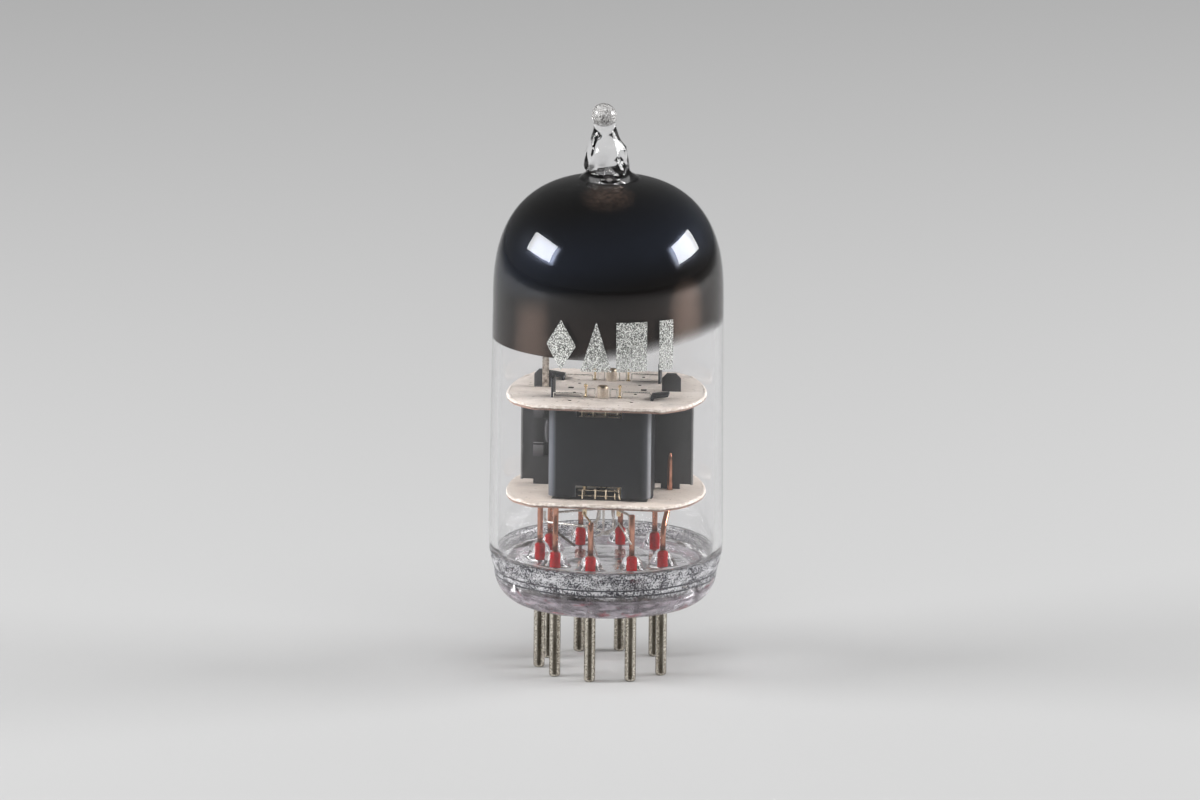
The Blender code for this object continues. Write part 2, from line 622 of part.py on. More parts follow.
def shield_outline():
    """The plate seen from the front: tabs and pips on the top edge, feet on the lower one."""
    half = SHIELD_LENGTH / 2
    tab = SHIELD_TAB_WIDTH / 2
    pip = SHIELD_PIP_WIDTH / 2
    tab_top = UPPER_TOP_Z + SHIELD_TAB_RISE
    pip_top = UPPER_MICA_HEIGHT + SHIELD_PIP_RISE
    foot = LOWER_MICA_HEIGHT - SHIELD_FOOT_DROP
    cut = SHIELD_TAB_CHAMFER
    right = [(half, SHIELD_BOTTOM_Z), (half, SHIELD_TOP_Z)]
    right += [(SHIELD_TAB_PLACE + tab, SHIELD_TOP_Z), (SHIELD_TAB_PLACE + tab, tab_top - cut),
              (SHIELD_TAB_PLACE + tab - cut, tab_top), (SHIELD_TAB_PLACE - tab + cut, tab_top),
              (SHIELD_TAB_PLACE - tab, tab_top - cut), (SHIELD_TAB_PLACE - tab, SHIELD_TOP_Z)]
    right += [(SHIELD_PIP_PLACE + pip, SHIELD_TOP_Z), (SHIELD_PIP_PLACE + pip, pip_top),
              (SHIELD_PIP_PLACE - pip, pip_top), (SHIELD_PIP_PLACE - pip, SHIELD_TOP_Z)]
    left = [(-x, z) for x, z in reversed(right)]
    feet = [(SHIELD_TAB_PLACE - tab, SHIELD_BOTTOM_Z), (SHIELD_TAB_PLACE - tab, foot),
            (SHIELD_TAB_PLACE + tab, foot), (SHIELD_TAB_PLACE + tab, SHIELD_BOTTOM_Z)]
    mirrored = [(-x, z) for x, z in reversed(feet)]
    return right + left + mirrored + feet


def make_shield():
    """The centre plate, with turned side edges and, on its left, two lugs folded out of windows."""
    windows = []
    lugs = []
    proud = SHIELD_SHEET / 2 + LUG_THICKNESS
    for share in LUG_SHARES:
        height = SHIELD_BOTTOM_Z + (SHIELD_TOP_Z - SHIELD_BOTTOM_Z) * share
        middle = -LUG_HINGE + LUG_LENGTH / 2
        top = height + LUG_HEIGHT
        windows.append(rectangle((middle, height + LUG_HEIGHT / 2), LUG_LENGTH, LUG_HEIGHT))
        lugs.append(block("lug", (-LUG_HINGE - LUG_LENGTH, -proud, height), (-LUG_HINGE, 0, top)))
    for side in (-1, 1):
        edge = side * SHIELD_LENGTH / 2
        ends = sorted((edge, edge - side * SHIELD_LIP_WIDTH))
        lip = SHIELD_LIP_DEPTH / 2
        lugs.append(block("lip", (ends[0] - GLASS_FIT, -lip, SHIELD_BOTTOM_Z - GLASS_FIT),
                          (ends[1] + GLASS_FIT, lip, SHIELD_TOP_Z + GLASS_FIT)))
    plate = flat_plate("shield", [shield_outline()] + windows, SHIELD_SHEET, SHIELD_METAL, upright=True)
    combine(plate, lugs, "UNION", "shield_lugs")
    return plate


def make_triode():
    """The front triode's sleeve, heater, grid rods and grid turns, and their rear twins."""
    ring = [(CATHODE_RADIUS, CATHODE_TOP_Z), (CATHODE_RADIUS, CATHODE_BOTTOM_Z),
            (CATHODE_RADIUS - CATHODE_WALL, CATHODE_BOTTOM_Z),
            (CATHODE_RADIUS - CATHODE_WALL, CATHODE_TOP_Z), (CATHODE_RADIUS, CATHODE_TOP_Z)]
    middle = Vector((0, -TRIODE_OFFSET, 0))
    sleeve = turned("cathode_front", ring, 18, CATHODE_COAT)
    for vert in sleeve.data.vertices:
        vert.co += middle
    heater_top = CATHODE_TOP_Z - HEATER_BELOW_TOP
    legs = [(-HEATER_SPREAD, 0, HEATER_BOTTOM_Z), (-HEATER_SPREAD, 0, heater_top - HEATER_SPREAD),
            (0, 0, heater_top), (HEATER_SPREAD, 0, heater_top - HEATER_SPREAD),
            (HEATER_SPREAD, 0, HEATER_BOTTOM_Z)]
    heater = wire("heater_front", [middle + Vector(leg) for leg in legs], HEATER_RADIUS, HEATER_COAT)
    rod_top = UPPER_TOP_Z + GRID_ROD_RISE
    dome_cut = GRID_ROD_RADIUS * 0.35
    rod_profile = [(0, rod_top), (GRID_ROD_RADIUS * 0.6, rod_top), (GRID_ROD_RADIUS, rod_top - dome_cut),
                   (GRID_ROD_RADIUS, GRID_BOTTOM_Z), (0, GRID_BOTTOM_Z)]
    rods = {}
    for side, word in ((-1, "left"), (1, "right")):
        rod = turned(f"grid_rod_front_{word}", rod_profile, 10, GOLD_ROD)
        for vert in rod.data.vertices:
            vert.co += middle + Vector((side * GRID_ROD_PLACE, 0, 0))
        rods[word] = rod
    start = ANODE_BOTTOM_Z + GRID_END_GAP
    span = ANODE_TOP_Z - GRID_END_GAP - start
    turns = int(span / GRID_PITCH)
    steps = 10
    half_length = GRID_ROD_PLACE + GRID_ROD_RADIUS + GRID_WIRE_RADIUS + LEAD_FIT
    path = []
    for i in range(turns * steps + 1):
        angle = math.tau * i / steps
        path.append(middle + Vector((half_length * math.cos(angle), GRID_HALF_DEPTH * math.sin(angle),
                                     start + GRID_PITCH * i / steps)))
    winding = wire("grid_winding_front", path, GRID_WIRE_RADIUS, GOLD_ROD, resolution=0)
    rear_copy(sleeve, "cathode_rear")
    rear_copy(heater, "heater_rear")
    rear_copy(rods["left"], "grid_rod_rear_right")
    rear_copy(rods["right"], "grid_rod_rear_left")
    rear_copy(winding, "grid_winding_rear")


def make_getter():
    """The getter ring, a shallow channel, on a bent bracket welded to the shield's left tab."""
    top = GETTER_HEIGHT + GETTER_DEPTH
    outer = GETTER_RADIUS
    inner = GETTER_RADIUS - GETTER_WIDTH
    sheet = GETTER_SHEET
    channel = [(outer, top), (outer, GETTER_HEIGHT), (inner, GETTER_HEIGHT), (inner, top),
               (inner + sheet, top), (inner + sheet, GETTER_HEIGHT + sheet),
               (outer - sheet, GETTER_HEIGHT + sheet), (outer - sheet, top), (outer, top)]
    turned("getter_ring", channel, 28, GETTER_METAL, place=(GETTER_CENTRE_X, 0, 0))
    left = -HOLDER_PLACE - HOLDER_WIDTH / 2
    right = left + HOLDER_WIDTH
    foot = UPPER_TOP_Z + LEAD_FIT
    reach = GETTER_CENTRE_X - GETTER_RADIUS - LEAD_FIT
    arm = top - HOLDER_WIDTH
    outer_bend = rounded([(left, 0, foot), (left, 0, top), (reach, 0, top)], HOLDER_BEND)
    inner_bend = rounded([(reach, 0, arm), (right, 0, arm), (right, 0, foot)], HOLDER_BEND - HOLDER_WIDTH)
    outline = [(point.x, point.z) for point in outer_bend + inner_bend]
    holder = flat_plate("getter_holder", [outline], HOLDER_SHEET, GOLD_ROD, upright=True)
    for vert in holder.data.vertices:
        vert.co.y -= SHIELD_SHEET / 2 + LEAD_FIT + HOLDER_SHEET / 2


def make_leads():
    """The inner leads on the seal wires, the thin straps and the heater tails."""
    up = Vector((0, 0, 1))

    def foot(number):
        return pin_place(number) + up * LEAD_FOOT_Z

    weld_x = ANODE_WALL_X - ANODE_SHEET / 2 - LEAD_FIT - LEAD_RADIUS
    anode_weld = Vector((-weld_x, -TRIODE_OFFSET - ANODE_TAB_WIDTH / 3, 0))
    start = foot(6)
    bend_z = start.z + (LOWER_MICA_HEIGHT - start.z) * 0.35
    join_z = start.z + (LOWER_MICA_HEIGHT - start.z) * 0.65
    route = [start, Vector((start.x, start.y, bend_z)), anode_weld + up * join_z,
             anode_weld + up * (LOWER_MICA_HEIGHT - LEAD_FIT)]
    anode_lead = wire("lead_6", rounded(route, LEAD_RADIUS * 2), LEAD_RADIUS, COPPER)
    start = foot(7)
    grid_top = start + up * STUB_LEAD_GRID
    grid_lead = wire("lead_7", [start, start + up * STUB_LEAD_GRID / 2, grid_top], LEAD_RADIUS, COPPER)
    start = foot(8)
    cathode_top = start + up * STUB_LEAD_CATHODE
    cathode_lead = wire("lead_8", [start, start + up * STUB_LEAD_CATHODE / 2, cathode_top],
                        LEAD_RADIUS, COPPER)
    rear_copy(anode_lead, "lead_1")
    rear_copy(grid_lead, "lead_2")
    rear_copy(cathode_lead, "lead_3")

    thin = THIN_WIRE_RADIUS
    side = LEAD_RADIUS + thin + LEAD_FIT
    rod_side = GRID_ROD_RADIUS + thin + LEAD_FIT
    rod = Vector((-GRID_ROD_PLACE, -TRIODE_OFFSET - rod_side, 0))
    at_lead = Vector((grid_top.x, grid_top.y + side, 0))
    grid_route = [at_lead + up * (grid_top.z - STUB_LEAD_GRID * 0.6), at_lead + up * (grid_top.z - thin),
                  rod + up * (GRID_BOTTOM_Z + thin), rod + up * (LOWER_MICA_HEIGHT - LEAD_FIT * 4)]
    grid_strap = wire("grid_strap_front", rounded(grid_route, thin * 3), thin, GOLD_ROD)
    rear_copy(grid_strap, "grid_strap_rear")
    sleeve_side = Vector((CATHODE_RADIUS + thin + LEAD_FIT, -TRIODE_OFFSET, 0))
    at_lead = Vector((cathode_top.x - side * 0.7, cathode_top.y + side * 0.7, 0))
    cathode_route = [at_lead + up * (cathode_top.z - STUB_LEAD_CATHODE * 0.4), at_lead + up * (cathode_top.z - thin),
                     sleeve_side + up * CATHODE_BOTTOM_Z, sleeve_side + up * (LOWER_MICA_HEIGHT - LEAD_FIT)]
    cathode_strap = wire("cathode_strap_front", rounded(cathode_route, thin * 2), thin, SILVER_WIRE)
    rear_copy(cathode_strap, "cathode_strap_rear")

    start = foot(9)
    weld = shield_lead_place()
    bend_z = start.z + (LOWER_MICA_HEIGHT - start.z) * 0.4
    join_z = LOWER_MICA_HEIGHT - LEAD_RADIUS * 3
    route = rounded([start, Vector((start.x, start.y, bend_z)), weld + up * join_z,
                     weld + up * SHIELD_LEAD_HEIGHT], LEAD_RADIUS * 3)
    route.append(weld + up * (SHIELD_LEAD_HEIGHT + SHIELD_LEAD_POINT))
    wire("lead_9", route, LEAD_RADIUS, COPPER, tip=0.2)
    start = foot(4)
    heater_z = start.z + (LOWER_MICA_HEIGHT - start.z) * 0.75
    wire("lead_4", [start, Vector((start.x, start.y, (start.z + heater_z) / 2)),
                    Vector((start.x, start.y, heater_z))], LEAD_RADIUS, COPPER)
    start = foot(5)
    wire("lead_5", [start, Vector((start.x, start.y, heater_z)),
                    Vector((start.x, start.y, LOWER_MICA_HEIGHT - LEAD_FIT))], LEAD_RADIUS, COPPER)

    below = HEATER_BOTTOM_Z - LEAD_FIT
    sag_z = (LEAD_FOOT_Z + below) / 2
    ease = LEAD_RADIUS * 4
    for word, side_y, number in (("front", -1, 5), ("rear", 1, 4)):
        leg = Vector((-HEATER_SPREAD, side_y * TRIODE_OFFSET, 0))
        post = pin_place(number) + Vector((side, 0, 0))
        knee = Vector((leg.x - ease, leg.y, sag_z + LEAD_RADIUS))
        route = [leg + up * below, leg + up * (sag_z + ease), knee,
                 post + up * sag_z, post + up * (sag_z + ease)]
        wire(f"heater_tail_{word}", rounded(route, LEAD_RADIUS * 2), thin, SILVER_WIRE)
    link_z = LEAD_FOOT_Z + LEAD_RADIUS * 3
    near = Vector((HEATER_SPREAD, -TRIODE_OFFSET, below))
    far = Vector((HEATER_SPREAD, TRIODE_OFFSET, below))
    route = [near, Vector((near.x, near.y, link_z + LEAD_RADIUS * 3)),
             Vector((-LEAD_RADIUS * 3, -TRIODE_OFFSET / 2, link_z)),
             Vector((LEAD_RADIUS * 3, TRIODE_OFFSET / 2, link_z)),
             Vector((far.x, far.y, link_z + LEAD_RADIUS * 3)), far]
    wire("heater_link", rounded(route, LEAD_RADIUS * 3), thin, SILVER_WIRE)


def shield_lead_place():
    """Where the shield's lead stands: just in front of the shield, behind its own mica hole."""
    hole = LEAD_RADIUS + MICA_SLOT_FIT
    slot = SHIELD_SHEET / 2 + MICA_SLOT_FIT
    return Vector((SHIELD_TAB_PLACE, -(slot + hole + MICA_SLOT_FIT * 1.5), 0))


make_bulb()
make_base()
make_pins_and_seals()
lead_hole = circle(LEAD_RADIUS + MICA_SLOT_FIT, shield_lead_place()[:2], 12)
make_mica("lower_mica", LOWER_MICA_HEIGHT, [lead_hole])
make_mica("upper_mica", UPPER_MICA_HEIGHT, [])
rear_copy(make_anode(), "anode_rear")
make_shield()
make_triode()
make_getter()
make_leads()
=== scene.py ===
"""The looks of a nine-pin miniature double triode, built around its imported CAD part.

The sections follow the tube as it is put together: pins and seal wires, the pressed base and
the bulb, the leads, the electrode cage from the lower mica up, the getter, and the printed marks.
"""
import math

import bmesh
import bpy
import numpy as np
from mathutils import Matrix, Vector, noise


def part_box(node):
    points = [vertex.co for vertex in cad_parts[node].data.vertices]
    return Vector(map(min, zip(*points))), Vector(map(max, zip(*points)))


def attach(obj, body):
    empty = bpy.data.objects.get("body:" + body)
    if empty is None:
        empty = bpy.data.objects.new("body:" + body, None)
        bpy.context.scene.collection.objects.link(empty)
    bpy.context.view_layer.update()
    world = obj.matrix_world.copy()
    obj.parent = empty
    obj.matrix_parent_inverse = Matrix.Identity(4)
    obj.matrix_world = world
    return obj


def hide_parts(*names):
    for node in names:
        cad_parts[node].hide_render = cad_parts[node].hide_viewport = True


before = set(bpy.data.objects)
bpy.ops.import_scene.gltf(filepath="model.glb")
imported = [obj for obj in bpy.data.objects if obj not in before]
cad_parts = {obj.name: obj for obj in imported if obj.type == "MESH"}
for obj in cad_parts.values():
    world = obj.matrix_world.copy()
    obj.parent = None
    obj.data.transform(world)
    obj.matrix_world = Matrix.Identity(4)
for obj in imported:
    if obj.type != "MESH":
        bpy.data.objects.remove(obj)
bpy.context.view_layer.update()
mm = 0.001


# Pins. Nine nickel pins stand on the standard miniature circle, with one place left empty.
# They are cut from drawn rod with rounded ends, tumbled to a satin grain, and pressed into
# the hot glass of the base.
def add_node(near, kind, inputs=None, **settings):
    """A node in the tree that near belongs to. Its inputs are sockets to link or values to set."""
    tree = near.id_data
    made = tree.nodes.new(kind)
    for setting, value in settings.items():
        setattr(made, setting, value)
    for name, value in (inputs or {}).items():
        if isinstance(value, bpy.types.NodeSocket):
            tree.links.new(value, made.inputs[name])
        else:
            made.inputs[name].default_value = value
    return made


def sum_of(kind, first, second=0.0):
    """A maths node's result. One of its two values at least is a socket."""
    near = first if isinstance(first, bpy.types.NodeSocket) else second
    return add_node(near, "ShaderNodeMath", {0: first, 1: second}, operation=kind).outputs[0]


def times(product, *factors):
    """The product of two or more values."""
    for factor in factors:
        product = sum_of("MULTIPLY", product, factor)
    return product


def new_group(name, kind, inputs, output, output_type):
    """A node group with named inputs and one named output, and the sockets that its inputs give."""
    tree = bpy.data.node_groups.new(name, kind)
    for label, socket_type in inputs.items():
        tree.interface.new_socket(label, in_out="INPUT", socket_type="NodeSocket" + socket_type)
    tree.interface.new_socket(output, in_out="OUTPUT", socket_type="NodeSocket" + output_type)
    return tree, tree.nodes.new("NodeGroupInput").outputs


def end_with(tree, geometry, finish):
    """Ends a geometry tree: its instances are made real and given their material."""
    whole = add_node(tree, "GeometryNodeRealizeInstances", {"Geometry": geometry})
    painted = add_node(tree, "GeometryNodeSetMaterial",
                       {"Geometry": whole.outputs[0], "Material": finish})
    tree.links.new(painted.outputs[0], tree.nodes.new("NodeGroupOutput").inputs[0])
    return tree


def lathe_tree():
    """Turns a profile of points round the Z axis: every grid column is the profile at one angle."""
    sizes = {"Profile": "Geometry", "Points": "Int", "Sides": "Int", "Finish": "Material"}
    tree, given = new_group("turned_profile", "GeometryNodeTree", sizes, "Turned", "Geometry")
    columns = sum_of("ADD", given["Sides"], 1.0)
    sheet = add_node(tree, "GeometryNodeMeshGrid",
                     {"Vertices X": columns, "Vertices Y": given["Points"]})
    index = tree.nodes.new("GeometryNodeInputIndex").outputs[0]
    row = sum_of("MODULO", index, given["Points"])
    column = sum_of("FLOOR", sum_of("DIVIDE", sum_of("ADD", index, 0.5), given["Points"]))
    angle = times(sum_of("DIVIDE", column, given["Sides"]), math.tau)
    here = tree.nodes.new("GeometryNodeInputPosition").outputs[0]
    point = add_node(tree, "GeometryNodeSampleIndex",
                     {0: given["Profile"], "Value": here, "Index": row},
                     data_type="FLOAT_VECTOR", domain="POINT")
    swung = add_node(tree, "ShaderNodeVectorRotate", {"Vector": point.outputs[0], "Angle": angle},
                     rotation_type="Z_AXIS")
    placed = add_node(tree, "GeometryNodeSetPosition",
                      {"Geometry": sheet.outputs["Mesh"], "Position": swung.outputs[0]})
    welded = add_node(tree, "GeometryNodeMergeByDistance",
                      {"Geometry": placed.outputs[0], "Distance": 1e-7})
    return end_with(tree, welded.outputs[0], given["Finish"])


def linked(name, data):
    """A new object in the scene."""
    made = bpy.data.objects.new(name, data)
    bpy.context.scene.collection.objects.link(made)
    return made


def plain_mesh(holder):
    """The plain mesh that an object makes with its modifiers. The object is then removed."""
    bpy.context.view_layer.update()
    shaped = holder.evaluated_get(bpy.context.evaluated_depsgraph_get())
    mesh = bpy.data.meshes.new_from_object(shaped)
    holder.modifiers.clear()
    bpy.data.objects.remove(holder)
    return mesh


def grown(tree, source, **inputs):
    """The plain mesh that a node tree makes from a source mesh, with its named inputs set."""
    holder = linked(tree.name + "_source", source)
    modifier = holder.modifiers.new(tree.name, "NODES")
    modifier.node_group = tree
    for item in tree.interface.items_tree:
        key = item.name.replace(" ", "_").lower()
        if item.in_out == "INPUT" and key in inputs:
            modifier[item.identifier] = inputs[key]
    return plain_mesh(holder)


def outward(mesh, smooth_below=40.0, inside_out=False):
    """Merges doubles, turns the faces outwards, and shades the gentle edges smooth."""
    shape = bmesh.new()
    shape.from_mesh(mesh)
    bmesh.ops.remove_doubles(shape, verts=shape.verts, dist=2e-7)
    bmesh.ops.dissolve_degenerate(shape, edges=shape.edges, dist=1e-8)
    bmesh.ops.recalc_face_normals(shape, faces=shape.faces)
    if inside_out:
        bmesh.ops.reverse_faces(shape, faces=shape.faces)
    shape.to_mesh(mesh)
    shape.free()
    mesh.shade_smooth()
    mesh.set_sharp_from_angle(angle=math.radians(smooth_below))
    return mesh


def turned(profile, sides, finish=None, smooth_below=40.0, inside_out=False):
    """A turned mesh. The profile holds (radius, height) points in millimetres."""
    line = bpy.data.meshes.new("profile")
    line.from_pydata([(radius * mm, 0, height * mm) for radius, height in profile], [], [])
    mesh = grown(lathe, line, points=len(profile), sides=sides, finish=finish)
    return outward(mesh, smooth_below, inside_out)


def piece(name, mesh, slot, *nodes):
    """A finished piece of the tube: it rides on the body and stands for its CAD nodes."""
    made = linked(name, mesh)
    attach(made, "root")
    if nodes:
        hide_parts(*nodes)
    return made


def plain_shader(name, colour, roughness, metallic=0.0):
    """A material with its shader and object coordinates, ready for its pattern."""
    made = bpy.data.materials.new(name)
    made.use_nodes = True
    tree = made.node_tree
    shader = tree.nodes["Principled BSDF"]
    shader.inputs["Base Color"].default_value = (*colour, 1.0)
    shader.inputs["Roughness"].default_value = roughness
    shader.inputs["Metallic"].default_value = metallic
    place = tree.nodes.new("ShaderNodeTexCoord").outputs["Object"]
    return made, shader, place


def feed(shader, **inputs):
    """Links sockets to the shader's inputs of the same names."""
    for name, socket in inputs.items():
        shader.id_data.links.new(socket, shader.inputs[name.replace("_", " ").title()])


def mottling_group():
    """The cloudy unevenness that every finish of the tube shares: grain, tarnish, soot and bloom."""
    settings = {"Place": "Vector", "Stretch": "Vector", "Patch size": "Float", "Detail": "Float"}
    tree, given = new_group("mottling", "ShaderNodeTree", settings, "Mottling", "Float")
    laid = add_node(tree, "ShaderNodeMapping", {"Vector": given["Place"], "Scale": given["Stretch"]},
                    vector_type="POINT")
    scale = sum_of("DIVIDE", 1 / mm, given["Patch size"])
    patches = add_node(tree, "ShaderNodeTexNoise",
                       {"Vector": laid.outputs[0], "Scale": scale, "Detail": given["Detail"]})
    tree.links.new(patches.outputs[0], tree.nodes.new("NodeGroupOutput").inputs["Mottling"])
    return tree


def mottling(place, size, detail=3.0, stretch=(1, 1, 1)):
    """The mottling with patches of a size in millimetres, from 0 to 1."""
    made = add_node(place, "ShaderNodeGroup", node_tree=mottled)
    place.id_data.links.new(place, made.inputs["Place"])
    for name, value in {"Stretch": stretch, "Patch size": size, "Detail": detail}.items():
        made.inputs[name].default_value = value
    return made.outputs["Mottling"]


def spread(value, low, high, start=0.3, stop=0.7):
    """A value mapped to lie between low and high."""
    given = {"Value": value, "From Min": start, "From Max": stop, "To Min": low, "To Max": high}
    return add_node(value, "ShaderNodeMapRange", given).outputs["Result"]


def two_colours(share, first, second):
    """The first colour where share is 0 and the second where it is 1."""
    first, second = [colour if isinstance(colour, bpy.types.NodeSocket) else (*colour, 1.0)
                     for colour in (first, second)]
    made = add_node(share, "ShaderNodeMix", {0: share, 6: first, 7: second}, data_type="RGBA")
    return made.outputs[2]


def relief(shader, height, depth):
    """Feeds a height in millimetres to the shader's normal."""
    bump = add_node(shader, "ShaderNodeBump",
                    {"Height": height, "Distance": depth * mm, "Strength": 1.0})
    feed(shader, normal=bump.outputs[0])


def satin_nickel():
    made, shader, place = plain_shader("satin_nickel", (0.46, 0.43, 0.37), 0.2, 1.0)
    grain = mottling(place, 0.14, 1.0)
    tarnish = mottling(place, 0.9, 4.0, (1, 1, 0.4))
    beads = spread(grain, 0, 1, 0.34, 0.62)
    # The middle of each pin is painted dark and its flanks, where the surface turns from the view, are
    # painted bright with a grainy highlight: painted reflection.
    dark = two_colours(spread(tarnish, 0, 1, 0.35, 0.65), (0.13, 0.115, 0.093), (0.07, 0.06, 0.045))
    bright = two_colours(beads, (0.42, 0.38, 0.32), (0.92, 0.86, 0.75))
    edge = add_node(shader, "ShaderNodeLayerWeight", {"Blend": 0.5}).outputs["Facing"]
    painted_flank_light = times(spread(edge, 0, 1, 0.05, 0.17), spread(edge, 1, 0.25, 0.42, 0.75))
    feed(shader, base_color=two_colours(painted_flank_light, dark, bright), roughness=spread(grain, 0.14, 0.3))
    relief(shader, grain, 0.03)
    return made


def nine_places_tree():
    """Puts the given piece on every pin place of the circle."""
    sizes = {"Piece": "Geometry", "Pins": "Int", "Circle radius": "Float", "First angle": "Float",
             "Pitch": "Float", "Finish": "Material"}
    tree, given = new_group("round_the_pin_circle", "GeometryNodeTree", sizes, "Pieces", "Geometry")
    points = add_node(tree, "GeometryNodePoints", {"Count": given["Pins"]})
    index = tree.nodes.new("GeometryNodeInputIndex").outputs[0]
    angle = sum_of("ADD", times(index, given["Pitch"]), given["First angle"])
    across = times(sum_of("SINE", angle), given["Circle radius"])
    away = times(sum_of("COSINE", angle), given["Circle radius"])
    spot = add_node(tree, "ShaderNodeCombineXYZ", {"X": across, "Y": times(away, -1.0)})
    placed = add_node(tree, "GeometryNodeSetPosition",
                      {"Geometry": points.outputs[0], "Position": spot.outputs[0]})
    turn = add_node(tree, "ShaderNodeCombineXYZ", {"Z": angle})
    stood = add_node(tree, "GeometryNodeInstanceOnPoints",
                     {"Points": placed.outputs[0], "Instance": given["Piece"],
                      "Rotation": turn.outputs[0]})
    return end_with(tree, stood.outputs[0], given["Finish"])


def round_the_circle(mesh, finish):
    """Nine of a mesh, one on each pin place."""
    made = grown(nine_places, mesh, pins=pin_count, circle_radius=circle_radius,
                 first_angle=first_angle, pitch=pin_pitch, finish=finish)
    return outward(made)


mottled = mottling_group()
lathe = lathe_tree()
nine_places = nine_places_tree()
pin_count = 9
pin_pitch = math.radians(36)
pin_low, pin_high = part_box("pin_1")
first_place = (pin_low + pin_high) / 2
circle_radius = first_place.xy.length
first_angle = math.atan2(first_place.x, -first_place.y)
pin_top = pin_high.z / mm
pin_radius = (pin_high.x - pin_low.x) / 2 / mm
pin_profile = [(0, pin_top), (pin_radius * 0.7, pin_top), (pin_radius * 0.94, pin_top - 0.1),
               (pin_radius, pin_top - 0.3)]
pin_profile += [(pin_radius, height) for height in np.linspace(pin_top - 0.8, 0.5, 12)]
for step in range(7):
    bend = math.pi / 2 * step / 6
    pin_profile.append((pin_radius - 0.24 * (1 - math.cos(bend)), 0.26 * (1 - math.sin(bend))))
pin_profile.append((0, 0))
pin_names = [f"pin_{number}" for number in range(1, pin_count + 1)]
pins = round_the_circle(turned(pin_profile, 40), satin_nickel())
piece("pins", pins, "nickel_pin", *pin_names)


# Seal wires. Above each pin stands a short length of copper-clad seal wire whose borated skin
# is bright red where the glass has wetted it. It runs up through the glass boss.
def coordinates(vector):
    """The X, Y and Z of a vector, as sockets by name."""
    return add_node(vector, "ShaderNodeSeparateXYZ", {"Vector": vector}).outputs


def red_seal_skin():
    made, shader, place = plain_shader("red_seal_skin", (0.72, 0.05, 0.05), 0.3)
    streaks = mottling(place, 0.22, 3.0, (1, 1, 0.5))
    tint = two_colours(spread(streaks, 0, 1), (0.46, 0.006, 0.010), (0.30, 0.003, 0.006))
    height = coordinates(place)["Z"]
    top = spread(height, 0, 1, (seal_top - 0.22) * mm, (seal_top - 0.02) * mm)
    deep = spread(height, 1, 0, (seal_top - 2.1) * mm, (seal_top - 1.8) * mm)
    browned = two_colours(top, tint, (0.20, 0.05, 0.03))
    feed(shader, base_color=two_colours(deep, browned, (0.15, 0.135, 0.14)))
    shader.inputs["Specular IOR Level"].default_value = 0.3
    feed(shader, roughness=spread(streaks, 0.10, 0.22))
    relief(shader, streaks, 0.008)
    return made


seal_low, seal_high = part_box("seal_1")
seal_top = seal_high.z / mm
seal_foot = seal_low.z / mm
seal_radius = (seal_high.x - seal_low.x) / 2 / mm - 0.05
seal_profile = [(0, seal_top), (seal_radius * 0.6, seal_top), (seal_radius * 0.9, seal_top - 0.06),
                (seal_radius * 0.97, seal_top - 0.16)]
for height in np.linspace(seal_top - 0.4, seal_top - 1.9, 8):
    swell = 0.97 + 0.03 * math.sin(height * 4.1)
    seal_profile.append((seal_radius * swell, height))
core = seal_radius * 0.55
seal_profile += [(core * 1.2, seal_top - 2.1), (core, seal_top - 2.3), (core, seal_foot + 0.5),
                 (core, seal_foot + 0.1), (0, seal_foot)]
seal_names = [f"seal_{number}" for number in range(1, pin_count + 1)]
seals = round_the_circle(turned(seal_profile, 28), red_seal_skin())
piece("seal_wires", seals, "red_seal", *seal_names)


# Glass. The pressed base, a disc with a boss round every seal wire, is fused to the drawn bulb
# at the rim, so the two are one clear body. The exhaust tube on the dome is sealed off in a
# small ball over a lumpy stem. Outside and inside are two closed skins, with the glass between.
def measured(kind, first, second=(0, 0, 0)):
    """A length, a distance or a dot product of vectors."""
    made = add_node(first, "ShaderNodeVectorMath", {0: first, 1: second}, operation=kind)
    return made.outputs["Value"]


def from_axis(place):
    """How far a point lies from the tube's axis."""
    flat = add_node(place, "ShaderNodeVectorMath", {0: place, 1: (1, 1, 0)}, operation="MULTIPLY")
    return measured("LENGTH", flat.outputs[0])


def clear_glass():
    made, shader, place = plain_shader("clear_glass", (0.965, 0.963, 0.968), 0.0)
    shader.inputs["Transmission Weight"].default_value = 1.0
    shader.inputs["IOR"].default_value = 1.43
    height = coordinates(place)["Z"]
    over = spread(height, 0, 1, (rim_height - 0.2) * mm, (rim_height + 0.15) * mm)
    under = spread(height, 1, 0, (band_top - 0.35) * mm, (band_top - 0.05) * mm)
    away = from_axis(place)
    outer = spread(away, 0, 1, 9.8 * mm, 9.95 * mm)
    band = times(over, under, outer)
    ripple = mottling(place, 3.2, 2.0)
    pits = mottling(place, 0.13, 4.0)
    rough = times(band, spread(pits, 0.08, 0.36))
    belly = spread(height, 1, 0, (rim_height - 0.5) * mm, rim_height * mm)
    wetted = times(belly, spread(mottling(place, 1.6, 3.0, (1, 1, 2.5)), 0.02, 0.16))
    feed(shader, roughness=sum_of("ADD", sum_of("ADD", rough, wetted), 0.004))
    feed(shader, base_color=two_colours(belly, (0.965, 0.963, 0.968), (0.94, 0.915, 0.945)))
    pitted = times(band, pits, 0.2)
    waves = times(ripple, spread(height, 1.0, 0.02, 9.5 * mm, 13 * mm))
    relief(shader, sum_of("ADD", waves, pitted), 0.12)
    lets_lamps_through(shader, (0.95, 0.95, 0.95))
    return made


